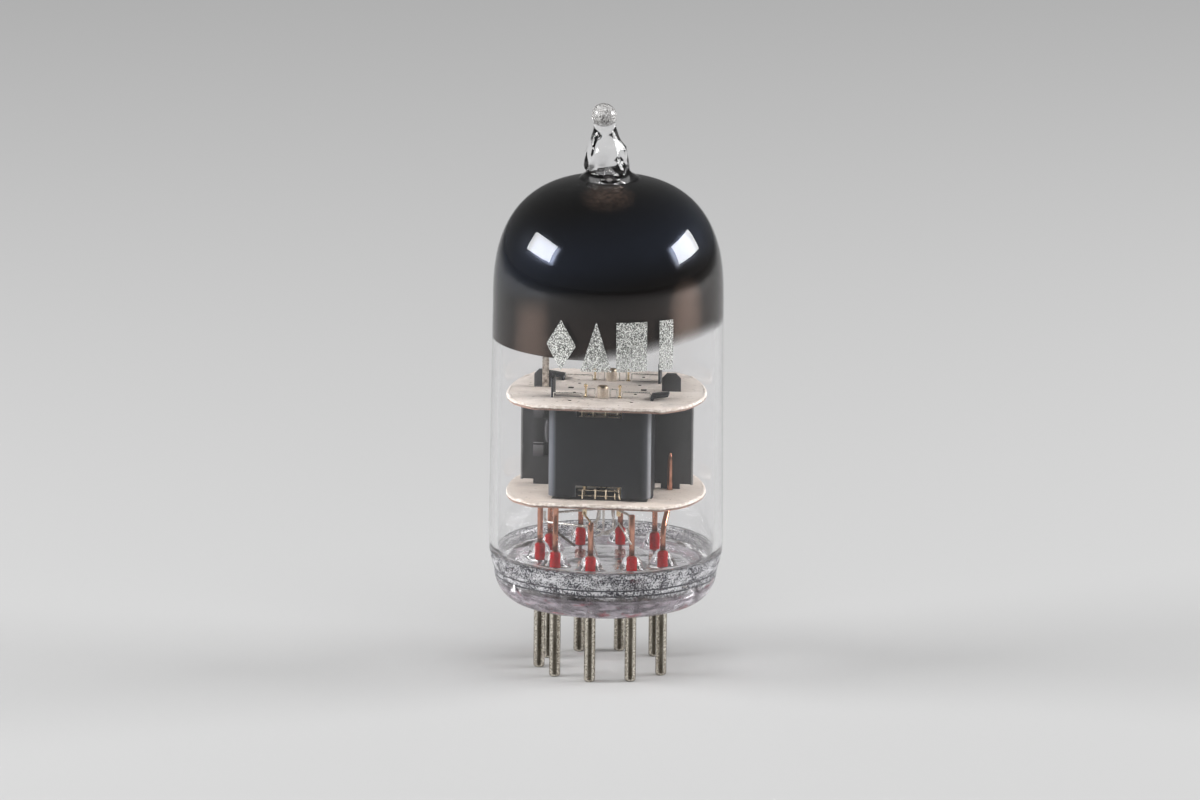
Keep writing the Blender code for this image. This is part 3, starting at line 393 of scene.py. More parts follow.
def lets_lamps_through(shader, tint):
    """Mixes a clear shader in for rays from lamps, so that they light what is behind the glass."""
    tree = shader.id_data
    clear = add_node(tree, "ShaderNodeBsdfTransparent", {"Color": (*tint, 1.0)})
    ray = add_node(tree, "ShaderNodeLightPath").outputs["Is Shadow Ray"]
    both = add_node(tree, "ShaderNodeMixShader", {0: ray, 1: shader.outputs[0], 2: clear.outputs[0]})
    tree.links.new(both.outputs[0], tree.nodes["Material Output"].inputs["Surface"])


def dome_points(reach, rise, steps, end_radius):
    """The dome's curve from its top edge down to the shoulder."""
    last = math.asin((end_radius / reach) ** (dome_power / 2))
    points = []
    for i in range(steps):
        angle = last + (math.pi / 2 - last) * i / steps
        points.append((reach * math.sin(angle) ** (2 / dome_power),
                       shoulder_height + rise * math.cos(angle) ** (2 / dome_power)))
    return points


def wall_at(height):
    """The bulb's outer radius at a height in millimetres."""
    if height <= widest_height:
        down = (widest_height - height) / (widest_height - rim_height)
        return bulb_radius - base_draw_in * down ** 2
    if height <= shoulder_height:
        along = (height - widest_height) / (shoulder_height - widest_height)
        return bulb_radius - shoulder_taper * along
    along = (height - shoulder_height) / dome_rise
    return shoulder_radius * (1 - along ** dome_power) ** (1 / dome_power)


def outside_profile():
    """Ball, neck, stem, dome, wall, the fused joint with its grooves, and the base's round belly."""
    points = [(0, tip_top)]
    for i in range(1, 13):
        angle = 2.02 * i / 12
        points.append((tip_ball * math.sin(angle), tip_top - tip_ball * (1 - math.cos(angle))))
    points += [(1.03, 49.75), (1.12, 49.4), (1.25, 49.05), (1.45, 48.6), (1.68, 48.1), (1.82, 47.5),
               (1.9, 46.9), (1.96, 46.4), (1.97, 46.1), (1.93, 45.93), (2.0, 45.74), (2.3, 45.52),
               (2.62, 45.33)]
    points += dome_points(shoulder_radius, dome_rise, 30, 2.75)
    points += [(wall_at(z), z) for z in np.linspace(shoulder_height, widest_height, 20)]
    points += [(wall_at(z), z) for z in np.linspace(widest_height - 0.15, band_top + 0.16, 6)]
    joint = wall_at(band_top)
    points += [(joint + 0.02, band_top + 0.08), (joint + 0.035, band_top),
               (joint - 0.03, band_top - 0.07), (joint - 0.02, band_top - 0.14)]
    points += [(wall_at(z), z) for z in (10.9, 10.8)]
    groove = wall_at(10.7)
    points += [(groove - 0.05, 10.72), (groove - 0.02, 10.64)]
    points += [(wall_at(z) + 0.012 * math.sin(z * 9), z) for z in np.linspace(10.5, 9.55, 7)]
    points += [(wall_at(9.45), 9.45), (wall_at(9.4) - 0.07, 9.37), (wall_at(9.3) - 0.07, 9.3)]
    base_radius = bulb_radius - base_draw_in
    belly = base_radius - base_face_radius
    rise = rim_height - seat_height
    for i in range(1, 25):
        angle = math.pi / 2 * i / 24
        swell = 0.03 * math.sin(angle * 2) * math.sin(angle * 9)
        points.append((base_face_radius + belly * math.cos(angle) - swell,
                       rim_height - rise * math.sin(angle)))
    points += [(r, seat_height) for r in (6.8, 6.0, 5.0, 4.2, 3.8)]
    points += [(3.6, seat_height + 0.03), (3.45, seat_height + 0.13), (3.3, seat_height + 0.15),
               (1.6, seat_height + 0.15), (0, seat_height + 0.15)]
    return points


def inside_profile():
    """The hollow: the nub under the tip, the dome, the wall, and the floor between the bosses."""
    points = [(0, 46.1), (0.3, 46.05), (0.6, 45.8), (0.78, 45.4), (0.84, 44.9), (0.95, 44.62)]
    points += dome_points(shoulder_radius - wall, dome_rise - wall, 26, 1.2)
    points += [(wall_at(z) - wall, z) for z in np.linspace(shoulder_height, widest_height, 20)]
    points += [(wall_at(z) - wall, z) for z in np.linspace(12.1, 11.3, 4)]
    inner = wall_at(11.2) - wall
    points += [(inner - 0.03, 11.05), (inner - 0.14, 10.85), (inner - 0.34, 10.66),
               (inner - 0.62, 10.5), (inner - 1.0, 10.38), (inner - 1.45, 10.29), (inner - 1.9, 10.24)]
    points += [(r, floor_height) for r in np.arange(7.45, 4.35, -0.09)]
    points += [(r, floor_height) for r in (4.1, 3.6, 3.0, 2.3, 1.6, 0.8, 0)]
    return points


def mesh_of(shape, name):
    """The mesh of a finished shape."""
    mesh = bpy.data.meshes.new(name)
    shape.to_mesh(mesh)
    shape.free()
    return mesh


def raise_bosses(mesh):
    """Lifts the floor into a round-shouldered boss about every seal wire."""
    count = len(mesh.vertices)
    places = np.zeros(count * 3, np.float64)
    mesh.vertices.foreach_get("co", places)
    places = places.reshape(-1, 3)
    low = places[:, 2] < (floor_height + 0.6) * mm
    for number in range(pin_count):
        angle = first_angle + pin_pitch * number
        centre = np.array([math.sin(angle), -math.cos(angle)]) * circle_radius
        away = np.linalg.norm(places[:, :2] - centre, axis=1) / mm
        share = np.clip((boss_foot - away) / (boss_foot - boss_top), 0, 1)
        lift = boss_height * share * share * (3 - 2 * share)
        dent = 0.12 * np.clip(1 - away / 0.55, 0, 1)
        places[low, 2] += ((lift - dent) * mm)[low]
    mesh.vertices.foreach_set("co", places.ravel())
    mesh.update()


def lean_the_tip(mesh):
    """The sealed tip was drawn off a little to one side, and its stem set in lumps."""
    for vert in mesh.vertices:
        over = vert.co.z - crown_height * mm
        if over > 0:
            along = over / ((tip_top - crown_height) * mm)
            vert.co.x += tip_lean * mm * (0.3 + 0.7 * along) * min(1, over / mm)
            share = min(1, over / (0.5 * mm)) * max(0, min(1, (49.4 * mm - vert.co.z) / (0.6 * mm)))
            lump = noise.noise(vert.co * 1100 + Vector((3.1, 0.4, 7.7)))
            around = Vector((vert.co.x, vert.co.y, 0)).normalized()
            vert.co += around * lump * 0.3 * mm * share


bulb_radius = 10.6
shoulder_taper = 0.2
base_draw_in = 0.55
base_face_radius = 7.55
wall = 0.8
seat_height = 6.35
rim_height = 9.3
floor_height = 10.2
band_top = 11.2
widest_height = 12.4
shoulder_height = 34.0
crown_height = 45.3
shoulder_radius = bulb_radius - shoulder_taper
dome_rise = crown_height - shoulder_height
dome_power = 2.6
tip_top = 51.99
tip_ball = 1.13
tip_lean = -0.6
boss_foot = 1.38
boss_top = 0.5
boss_height = 1.45
outer_skin = turned(outside_profile(), 240)
lean_the_tip(outer_skin)
inner_skin = turned(inside_profile(), 288, inside_out=True)
raise_bosses(inner_skin)
lean_the_tip(inner_skin)
skins = bmesh.new()
skins.from_mesh(outer_skin)
skins.from_mesh(inner_skin)
envelope = mesh_of(skins, "glass_envelope")
envelope.shade_smooth()
envelope.materials.append(clear_glass())
piece("glass_envelope", envelope, "clear_glass", "bulb", "base_button")


# Fused joint. Where the base was melted to the bulb the skin is ground and crazed, with fine
# white grains, and dirt has settled in the two grooves that run round it. Below it the flame has
# left a thin lilac bloom on the belly of the base.
def apart(value, middle=0.0):
    """How far a value lies from another, on either side."""
    return sum_of("ABSOLUTE", sum_of("SUBTRACT", value, middle))


def crazed_skin():
    made, shader, place = plain_shader("crazed_skin", (0.8, 0.8, 0.82), 0.4)
    split = coordinates(place)["Z"]
    grains = mottling(place, 0.13, 3.0)
    patches = mottling(place, 1.3, 3.0, (1, 1, 2.2))
    level = sum_of("ADD", split, times(sum_of("SUBTRACT", patches, 0.5), 1.1 * mm))
    over = spread(level, 0, 1, (rim_height - 0.75) * mm, (rim_height - 0.35) * mm)
    under = spread(level, 1, 0, (band_top - 0.35) * mm, (band_top - 0.05) * mm)
    inside = times(over, under)
    bias = spread(patches, -0.09, 0.09)
    speckle = spread(sum_of("ADD", grains, bias), 0, 1, 0.43, 0.57)
    cover = times(inside, spread(patches, 0.66, 0.95, 0.4, 0.6))
    lines = 0.0
    for middle, strength in ((band_top - 0.1, 0.22), (rim_height + 0.1, 0.5), (rim_height - 0.42, 0.6)):
        off = apart(split, middle * mm)
        lines = sum_of("MAXIMUM", lines, spread(off, strength, 0, 0.03 * mm, 0.09 * mm))
    lines = times(lines, spread(patches, 0.25, 1, 0.35, 0.55))
    feed(shader, alpha=sum_of("MAXIMUM", cover, lines))
    salt = two_colours(speckle, (0.045, 0.045, 0.06), (0.80, 0.795, 0.82))
    feed(shader, base_color=two_colours(spread(lines, 0, 1, 0, 0.3), salt, (0.05, 0.05, 0.06)))
    relief(shader, grains, 0.03)
    return made


def bloomed_skin():
    made, shader, place = plain_shader("bloomed_skin", (0.7, 0.66, 0.7), 0.12)
    streaks = mottling(place, 1.5, 5.0, (1, 1, 3.5))
    spots = mottling(place, 1.9, 3.0, (1, 1, 1.6))
    grains = mottling(place, 0.2, 2.0, (1, 1, 2.0))
    split = coordinates(place)["Z"]
    lines = spread(sum_of("ADD", grains, times(streaks, 0.8)), 0.42, 0, 0.62, 0.72)
    for middle, strength in ((rim_height - 0.92, 0.5), (rim_height - 1.15, 0.3)):
        off = apart(split, middle * mm)
        lines = sum_of("MAXIMUM", lines, spread(off, strength, 0, 0.03 * mm, 0.11 * mm))
    haze = two_colours(spread(streaks, 0, 1, 0.4, 0.6), (0.25, 0.22, 0.245), (0.62, 0.57, 0.62))
    # The red patches are a painted reflection of the red seal wires.
    with_painted_seal_reflection = two_colours(spread(spots, 0, 0.6, 0.60, 0.68), haze, (0.42, 0.06, 0.08))
    feed(shader, base_color=two_colours(lines, with_painted_seal_reflection, (0.035, 0.03, 0.04)))
    thin = spread(spots, 0.30, 0.66, 0.38, 0.62)
    feed(shader, alpha=sum_of("MAXIMUM", thin, lines))
    relief(shader, streaks, 0.05)
    return made


def belly_point(turn, lift):
    """A point of the belly's curve, from the rim at 0 down to the seat, lifted off the glass."""
    reach = bulb_radius - base_draw_in - base_face_radius + lift
    drop = rim_height - seat_height + lift
    return base_face_radius + reach * math.cos(turn), rim_height - drop * math.sin(turn)


def thin_skin(heights, turns, finish):
    """A closed skin on the glass, down the wall and on round the belly."""
    def points(lift):
        return [(wall_at(z) + lift, z) for z in heights] + [belly_point(turn, lift) for turn in turns]

    outside = points(0.03)
    return turned(outside + points(0.015)[::-1] + outside[:1], 240, finish)


belly_start = 0.3
joint_skin = thin_skin(np.linspace(band_top + 0.02, rim_height + 0.02, 14),
                       np.linspace(0.02, belly_start, 6), crazed_skin())
piece("fused_joint", joint_skin, "clear_glass")
bloom = thin_skin([], np.linspace(belly_start, math.pi / 2 - 0.22, 18), bloomed_skin())
piece("bloomed_belly", bloom, "clear_glass")


# Leads. Copper wires, welded to the seal wires, carry the cage and run to its parts. They are
# soft drawn wire, bent by hand tools and a little darkened by the sealing flame at the foot.
def flame_darkened_copper():
    made, shader, place = plain_shader("flame_darkened_copper", (0.80, 0.50, 0.40), 0.32, 1.0)
    drawn = mottling(place, 0.16, 3.0, (1, 1, 0.12))
    patches = mottling(place, 1.1, 3.0)
    bright = two_colours(spread(patches, 0, 1), (0.72, 0.37, 0.26), (0.50, 0.22, 0.14))
    height = coordinates(place)["Z"]
    burnt = spread(height, 1, 0, (seal_top + 0.25) * mm, (seal_top + 0.7) * mm)
    feed(shader, base_color=two_colours(burnt, bright, (0.22, 0.09, 0.06)),
         roughness=spread(drawn, 0.12, 0.26))
    relief(shader, drawn, 0.012)
    return made


def eased(points, radius, steps=6):
    """A run of points whose corners are rounded off."""
    points = [Vector(point) for point in points]
    run = [points[0]]
    for before, corner, after in zip(points, points[1:], points[2:]):
        back = before - corner
        ahead = after - corner
        reach = min(radius, back.length * 0.45, ahead.length * 0.45)
        start = corner + back.normalized() * reach
        stop = corner + ahead.normalized() * reach
        for i in range(steps + 1):
            t = i / steps
            run.append(start.lerp(corner, t).lerp(corner.lerp(stop, t), t))
    run.append(points[-1])
    return run


def wire_mesh(points, radius, finish, tips=None, roundness=5):
    """A drawn wire along points in millimetres, with a closed end at each side."""
    line = bpy.data.curves.new("wire", "CURVE")
    line.dimensions = "3D"
    line.bevel_depth = radius * mm
    line.bevel_resolution = roundness
    line.use_fill_caps = True
    spline = line.splines.new("POLY")
    spline.points.add(len(points) - 1)
    for i, point in enumerate(points):
        spline.points[i].co = (*(Vector(point) * mm), 1.0)
        spline.points[i].radius = (tips or {}).get(i - len(points), 1.0)
    mesh = plain_mesh(linked("wire", line))
    mesh.materials.clear()
    mesh.materials.append(finish)
    return outward(mesh, 50)


def half_turn(mesh):
    """The rear triode's twin of a front mesh."""
    twin = mesh.copy()
    twin.transform(Matrix.Rotation(math.pi, 4, "Z"))
    return twin


def both_triodes(name, mesh, slot, front_node=None, rear_node=None):
    """A piece of the front triode and its twin in the rear one. The name has a gap for the side."""
    for side, made, node in (("front", mesh, front_node), ("rear", half_turn(mesh), rear_node)):
        piece(name.format(side), made, slot, *([node] if node else []))


def pin_spot(number):
    """A pin's place on the circle, in millimetres."""
    angle = first_angle + pin_pitch * (number - 1)
    return Vector((math.sin(angle), -math.cos(angle), 0)) * (circle_radius / mm)


copper = flame_darkened_copper()
lead_radius = 0.25
lead_foot = seal_top + 0.04
lower_mica = 16.4
triode_offset = 3.5
up = Vector((0, 0, 1))
room = lower_mica - lead_foot
start = pin_spot(6) + up * lead_foot
weld = Vector((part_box("anode_front")[0].x / mm + 0.51, -triode_offset - 0.5, 0))
anode_route = [start, start + up * room * 0.35, weld + up * (lead_foot + room * 0.65),
               weld + up * 16.36]
anode_lead = wire_mesh(eased(anode_route, 0.6), lead_radius, copper)
start = pin_spot(7) + up * lead_foot
grid_route = [start, start + up * 1.5, start + up * 2.9, start + up * 3.0]
grid_lead = wire_mesh(grid_route, lead_radius, copper, {-1: 0.82})
start = pin_spot(8) + up * lead_foot
cathode_route = [start, start + up * 1.8, start + up * 3.6, start + up * 3.7]
cathode_lead = wire_mesh(cathode_route, lead_radius, copper, {-1: 0.82})
start = pin_spot(9) + up * lead_foot
shield_weld = Vector((5.8, -0.455, 0))
shield_route = eased([start, start + up * room * 0.4, shield_weld + up * (lower_mica - 0.75),
                      shield_weld + up * 19.2], 0.8)
shield_route += [shield_weld + up * 19.55, shield_weld + up * 20.15, shield_weld + up * 20.2]
shield_lead = wire_mesh(shield_route, lead_radius, copper, {-3: 0.95, -2: 0.5, -1: 0.3})
both_triodes("lead_to_{}_anode", anode_lead, "copper_lead", "lead_6", "lead_1")
both_triodes("lead_to_{}_grid", grid_lead, "copper_lead", "lead_7", "lead_2")
both_triodes("lead_to_{}_cathode", cathode_lead, "copper_lead", "lead_8", "lead_3")
piece("lead_to_shield", shield_lead, "copper_lead", "lead_9")
for number, share in ((4, 0.75), (5, 1.0)):
    start = pin_spot(number) + up * lead_foot
    stop = start + up * (room * share - 0.04)
    mesh = wire_mesh([start, start.lerp(stop, 0.5), stop], lead_radius, copper)
    piece(f"heater_lead_{number}", mesh, "copper_lead", f"lead_{number}")


# Mica spacers. Two plates punched from mica sheet and sprayed white with magnesia hold every
# electrode at its place. The punched edge flakes a little and shows the brown of the sheet.
def facing(shader):
    """The X, Y and Z of the direction that the surface faces."""
    return coordinates(add_node(shader, "ShaderNodeNewGeometry").outputs["Normal"])


def sprayed_mica():
    made, shader, place = plain_shader("sprayed_mica", (0.86, 0.81, 0.76), 0.75)
    cloud = mottling(place, 2.4, 4.0)
    grit = mottling(place, 0.08, 3.0)
    face = two_colours(spread(cloud, 0, 1), (0.83, 0.75, 0.685), (0.68, 0.59, 0.52))
    split = coordinates(place)
    # The lower plate is painted darker than the upper one: painted shade under the cage.
    face = two_colours(spread(split["Z"], 0.5, 0, 19 * mm, 20 * mm), face, (0.50, 0.42, 0.36))
    level = sum_of("MODULO", sum_of("SUBTRACT", split["Z"], lower_mica * mm), mica_spacing * mm)
    wander = times(sum_of("SUBTRACT", cloud, 0.5), 0.5 * mm)
    lower = spread(sum_of("ADD", level, wander), 1, 0, 0.1 * mm, 0.2 * mm)
    side = spread(apart(facing(shader)["Z"]), 1, 0, 0.3, 0.75)
    raw = times(side, lower)
    bare = two_colours(spread(grit, 0, 1), (0.30, 0.15, 0.11), (0.46, 0.30, 0.24))
    # The plate's top inside each anode's footprint is painted nearly black: painted shade inside the
    # anode box.
    in_length = spread(apart(split["X"]), 1, 0, 4.2 * mm, 4.3 * mm)
    in_depth = spread(apart(apart(split["Y"]), triode_offset * mm), 1, 0, 2.1 * mm, 2.25 * mm)
    off_top = apart(split["Z"], (lower_mica + mica_thickness) * mm)
    painted_shade_in_anode = times(in_length, in_depth, spread(off_top, 1, 0, 0.05 * mm, 0.1 * mm))
    specks = spread(mottling(place, 0.35, 4.0), 0, 0.75, 0.62, 0.70)
    # Side faces are painted browner than the top: painted shade where the light from above does not
    # fall.
    painted_flank_light = times(side, 0.8)
    worn = two_colours(specks, two_colours(painted_flank_light, face, (0.50, 0.40, 0.33)), (0.30, 0.24, 0.20))
    smudge = spread(mottling(place, 3.4, 4.0, (1, 1.6, 1)), 0, 0.55, 0.52, 0.68)
    worn = two_colours(smudge, worn, (0.42, 0.37, 0.335))
    white = two_colours(painted_shade_in_anode, worn, (0.035, 0.028, 0.024))
    feed(shader, base_color=two_colours(raw, white, bare), roughness=spread(grit, 0.6, 0.85))
    relief(shader, sum_of("ADD", grit, times(cloud, 0.6)), 0.03)
    return made


def crumbled_rim():
    made, shader, place = plain_shader("crumbled_rim", (0.8, 0.74, 0.68), 0.8)
    crumbs = mottling(place, 0.34, 5.0)
    cloud = mottling(place, 2.0, 3.0)
    pale = two_colours(spread(crumbs, 0, 1, 0.36, 0.6), (0.60, 0.51, 0.44), (0.84, 0.77, 0.71))
    # Faces turned downwards are painted brown: painted shade on the underside of the bead.
    level = sum_of("ADD", facing(shader)["Z"], spread(cloud, -0.35, 0.35))
    brown = two_colours(spread(crumbs, 0, 1), (0.16, 0.10, 0.07), (0.42, 0.30, 0.23))
    feed(shader, base_color=two_colours(spread(level, 1, 0, -0.45, -0.05), pale, brown))
    relief(shader, crumbs, 0.06)
    return made


def punched_edge():
    made, shader, place = plain_shader("punched_edge", (0.05, 0.032, 0.026), 0.8)
    flakes = mottling(place, 0.1, 2.0, (1, 1, 4))
    tint = two_colours(spread(flakes, 0, 1), (0.03, 0.02, 0.016), (0.10, 0.06, 0.045))
    feed(shader, base_color=tint)
    return made


def mica_edge():
    """A plate's edge in millimetres: straight front and back, corners on the glass, bowed ends."""
    end_share, corner_share, front_share = 0.9375, 0.784, 0.805
    corner_radius = half_plate / end_share
    corner_x = corner_radius * corner_share
    corner_y = math.sqrt(corner_radius ** 2 - corner_x ** 2)
    bow = (half_plate ** 2 - corner_radius ** 2) / (2 * (half_plate - corner_x))
    start = math.asin(corner_y / (half_plate - bow))
    right = [(bow + (half_plate - bow) * math.cos(angle), (half_plate - bow) * math.sin(angle))
             for angle in np.linspace(-start, start, 40)]
    corner = [(corner_radius * math.cos(angle), corner_radius * math.sin(angle))
              for angle in np.linspace(math.atan2(corner_y, corner_x), math.asin(front_share), 12)[1:]]
    lower = [(x, -y) for x, y in corner[::-1]]
    half = lower + right + corner
    loop = np.array(right + corner + [(-x, y) for x, y in half[::-1]] + lower)
    steps = np.linalg.norm(np.roll(loop, -1, axis=0) - loop, axis=1)
    along = np.concatenate([[0], np.cumsum(steps)])
    closed = np.vstack([loop, loop[:1]])
    spots = np.arange(0, along[-1] - 0.06, 0.12)
    return list(zip(np.interp(spots, along, closed[:, 0]), np.interp(spots, along, closed[:, 1])))


def rim_coat(height):
    """The thick crumbly bead of coating round a plate's edge."""
    line = bpy.data.curves.new("rim_coat", "CURVE")
    line.dimensions = "3D"
    line.bevel_depth = 0.19 * mm
    line.bevel_resolution = 4
    spline = line.splines.new("POLY")
    spline.use_cyclic_u = True
    edge = mica_edge()
    spline.points.add(len(edge) - 1)
    for i, (x, y) in enumerate(edge):
        here = Vector((x, y, height))
        lump = noise.noise(here * 0.9) + 0.7 * noise.noise(here * 3.1)
        shrink = 1 - 0.13 / math.hypot(x, y)
        middle = height + 0.23 + 0.03 * noise.noise(Vector((y, x, height)) * 1.3)
        spline.points[i].co = (x * shrink * mm, y * shrink * mm, middle * mm, 1.0)
        spline.points[i].radius = 1.0 + 0.28 * lump
    mesh = plain_mesh(linked("rim_coat", line))
    crumbs = [vert.normal * 0.035 * mm * noise.noise(vert.co * 7000) for vert in mesh.vertices]
    for vert, crumb in zip(mesh.vertices, crumbs):
        vert.co += crumb
    mesh.materials.clear()
    mesh.materials.append(rim_finish)
    return outward(mesh, 180)


def hole_cutter(height):
    """What the punch takes out of a plate: four round holes to a triode, and two shield slots."""
    shape = bmesh.new()
    deep = Matrix.Translation((0, 0, (height + mica_thickness / 2) * mm))
    hole_radius = 0.16 * mm
    for turn in (0, math.pi):
        for x in (-2.75, 2.75):
            for y in (-1.65, 1.65):
                moved = Matrix.Translation((x * mm, (y - triode_offset) * mm, 0))
                bmesh.ops.create_cone(shape, cap_ends=True, segments=16, radius1=hole_radius,
                                      radius2=hole_radius, depth=mm,
                                      matrix=deep @ (Matrix.Rotation(turn, 4, "Z") @ moved))
    for x in (-3.3, 3.3):
        slot = Matrix.Translation((x * mm, 0, 0)) @ Matrix.Diagonal((0.5 * mm, 0.62 * mm, mm, 1))
        bmesh.ops.create_cube(shape, size=1.0, matrix=deep @ slot)
    return mesh_of(shape, "hole_cutter")


def coated_plate(node):
    """A copy of a CAD mica with its small holes opened out and dark raw mica in every hole."""
    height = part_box(node)[0].z / mm
    holder = linked(node + "_source", cad_copy(node))
    punch = linked("punch", hole_cutter(height))
    holder.modifiers.new("punched", "BOOLEAN").object = punch
    mesh = softened(plain_mesh(holder), node, mica_finish, 0.03, 1)
    bpy.data.objects.remove(punch)
    mesh.materials.append(raw_edge)
    for face in mesh.polygons:
        on_rim = abs(face.center.y) > 7.3 * mm or face.center.xy.length > 8.6 * mm
        if abs(face.normal.z) < 0.9 and not on_rim:
            face.material_index = 1
    return mesh


def softened(mesh, name, finish, width, segments=2, smooth_below=35):
    """Rounds a sheet part's sharp edges by a width in millimetres, and gives it its finish."""
    mesh.materials.clear()
    mesh.materials.append(finish)
    holder = linked(name + "_source", mesh)
    bevel = holder.modifiers.new("soft_edges", "BEVEL")
    bevel.width = width * mm
    bevel.segments = segments
    bevel.limit_method = "ANGLE"
    bevel.angle_limit = math.radians(30)
    bevel.use_clamp_overlap = True
    made = plain_mesh(holder)
    made.shade_smooth()
    made.set_sharp_from_angle(angle=math.radians(smooth_below))
    return made


def cad_copy(node):
    """A welded copy of a CAD node's mesh, with its flat faces whole again."""
    shape = bmesh.new()
    shape.from_mesh(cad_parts[node].data)
    bmesh.ops.remove_doubles(shape, verts=shape.verts, dist=2e-6)
    bmesh.ops.dissolve_limit(shape, angle_limit=math.radians(0.5), verts=shape.verts, edges=shape.edges)
    return mesh_of(shape, node + "_copy")


mica_spacing = 9.0
mica_thickness = 0.4
mica_finish = sprayed_mica()
rim_finish = crumbled_rim()
raw_edge = punched_edge()
half_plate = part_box("upper_mica")[1].x / mm
for word in ("lower", "upper"):
    node = f"{word}_mica"
    piece(f"{word}_mica_plate", coated_plate(node), "coated_mica", node)
    piece(f"{word}_mica_rim", rim_coat(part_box(node)[0].z / mm), "coated_mica")


# Cathodes and heaters. Each cathode is a nickel sleeve sprayed with tan oxide over its middle,
# and open at the top, where the white-coated bend of its heater shows.
def cathode_coating():
    made, shader, place = plain_shader("cathode_coating", (0.62, 0.53, 0.43), 0.7)
    crust = mottling(place, 0.12, 3.0)
    tint = two_colours(spread(crust, 0, 1), (0.66, 0.57, 0.47), (0.50, 0.40, 0.31))
    height = coordinates(place)["Z"]
    lip = spread(height, 0, 1, 26.62 * mm, 26.7 * mm)
    # Below about 19 mm the sleeve is painted nearly black: painted shade low inside the anode.
    soot_and_painted_shade = two_colours(spread(height, 1, 0, 18.2 * mm, 19.2 * mm), tint, (0.035, 0.024, 0.017))
    feed(shader, base_color=two_colours(lip, soot_and_painted_shade, (0.50, 0.40, 0.29)))
    feed(shader, metallic=lip)
    feed(shader, roughness=spread(lip, 0.75, 0.3, 0, 1))
    relief(shader, crust, 0.02)
    return made


def heater_coating():
    made, shader, place = plain_shader("heater_coating", (0.88, 0.88, 0.86), 0.8)
    crust = mottling(place, 0.07, 3.0)
    tint = two_colours(spread(crust, 0, 1), (0.90, 0.90, 0.88), (0.74, 0.73, 0.70))
    feed(shader, base_color=tint)
    relief(shader, crust, 0.02)
    return made


sleeve_low, sleeve_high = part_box("cathode_front")
sleeve_top = sleeve_high.z / mm
sleeve_foot = sleeve_low.z / mm
sleeve_radius, bore = 0.5, 0.42
sleeve_profile = [(bore, sleeve_top), (0.46, sleeve_top), (sleeve_radius, sleeve_top - 0.05)]
sleeve_profile += [(sleeve_radius, z) for z in np.linspace(sleeve_top - 0.3, sleeve_foot + 0.1, 8)]
sleeve_profile += [(sleeve_radius, sleeve_foot), (bore, sleeve_foot),
                   (bore, (sleeve_top + sleeve_foot) / 2), (bore, sleeve_top)]
sleeve = turned(sleeve_profile, 36, cathode_coating())
sleeve.materials.append(raw_edge)
for face in sleeve.polygons:
    if face.center.xy.length < 0.44 * mm:
        face.material_index = 1
sleeve.transform(Matrix.Translation((0, -triode_offset * mm, 0)))
both_triodes("{}_cathode", sleeve, "cathode_coat", "cathode_front", "cathode_rear")
heater_low, heater_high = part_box("heater_front")
leg = 0.18
middle = Vector((0, -triode_offset, 0))
heater_foot = heater_low.z / mm
heater_top = heater_high.z / mm - 0.12
heater_route = [middle + Vector((-leg, 0, heater_foot)), middle + Vector((-leg, 0, heater_top - leg))]
for step in range(1, 8):
    swing = math.pi * (1 - step / 8)
    bend = Vector((leg * math.cos(swing), 0, heater_top - leg + leg * math.sin(swing)))
    heater_route.append(middle + bend)
heater_route += [middle + Vector((leg, 0, heater_top - leg)), middle + Vector((leg, 0, heater_foot))]
heater = wire_mesh(heater_route, 0.12, heater_coating(), roundness=3)
both_triodes("{}_heater", heater, "heater_coat", "heater_front", "heater_rear")


# Grids. Two gold-plated side rods carry a close winding of fine wire, swaged into the rods and
# pulled oval round the cathode. The rod ends stand up through the mica as bright stubs.
def gold_plate():
    made, shader, place = plain_shader("gold_plate", (0.86, 0.68, 0.42), 0.25, 1.0)
    drawn = mottling(place, 0.12, 3.0, (1, 1, 0.15))
    patches = mottling(place, 0.7, 2.0)
    tint = two_colours(spread(patches, 0, 1), (0.95, 0.79, 0.53), (0.80, 0.58, 0.33))
    feed(shader, base_color=tint, roughness=spread(drawn, 0.16, 0.36))
    relief(shader, drawn, 0.008)
    return made


def winding_tree():
    """A spiral squeezed to an oval and swept with round wire."""
    sizes = {"Mesh": "Geometry", "Turns": "Float", "Height": "Float", "Half length": "Float",
             "Half depth": "Float", "Wire radius": "Float", "Foot": "Float", "Offset": "Float",
             "Finish": "Material"}
    tree, given = new_group("grid_winding", "GeometryNodeTree", sizes, "Winding", "Geometry")
    spiral = add_node(tree, "GeometryNodeCurveSpiral",
                      {"Resolution": 20, "Rotations": given["Turns"], "Height": given["Height"],
                       "Start Radius": given["Half length"], "End Radius": given["Half length"]})
    here = tree.nodes.new("GeometryNodeInputPosition").outputs[0]
    squeeze = sum_of("DIVIDE", given["Half depth"], given["Half length"])
    oval = add_node(tree, "ShaderNodeCombineXYZ", {"X": 1.0, "Y": squeeze, "Z": 1.0})
    shaped = add_node(tree, "ShaderNodeVectorMath", {0: here, 1: oval.outputs[0]}, operation="MULTIPLY")
    spot = add_node(tree, "ShaderNodeCombineXYZ",
                    {"Y": times(given["Offset"], -1.0), "Z": given["Foot"]})
    moved = add_node(tree, "ShaderNodeVectorMath", {0: shaped.outputs[0], 1: spot.outputs[0]},
                     operation="ADD")
    placed = add_node(tree, "GeometryNodeSetPosition",
                      {"Geometry": spiral.outputs[0], "Position": moved.outputs[0]})
    ring = add_node(tree, "GeometryNodeCurvePrimitiveCircle",
                    {"Resolution": 6, "Radius": given["Wire radius"]})
    swept = add_node(tree, "GeometryNodeCurveToMesh",
                     {"Curve": placed.outputs[0], "Profile Curve": ring.outputs[0], "Fill Caps": True})
    return end_with(tree, swept.outputs[0], given["Finish"])


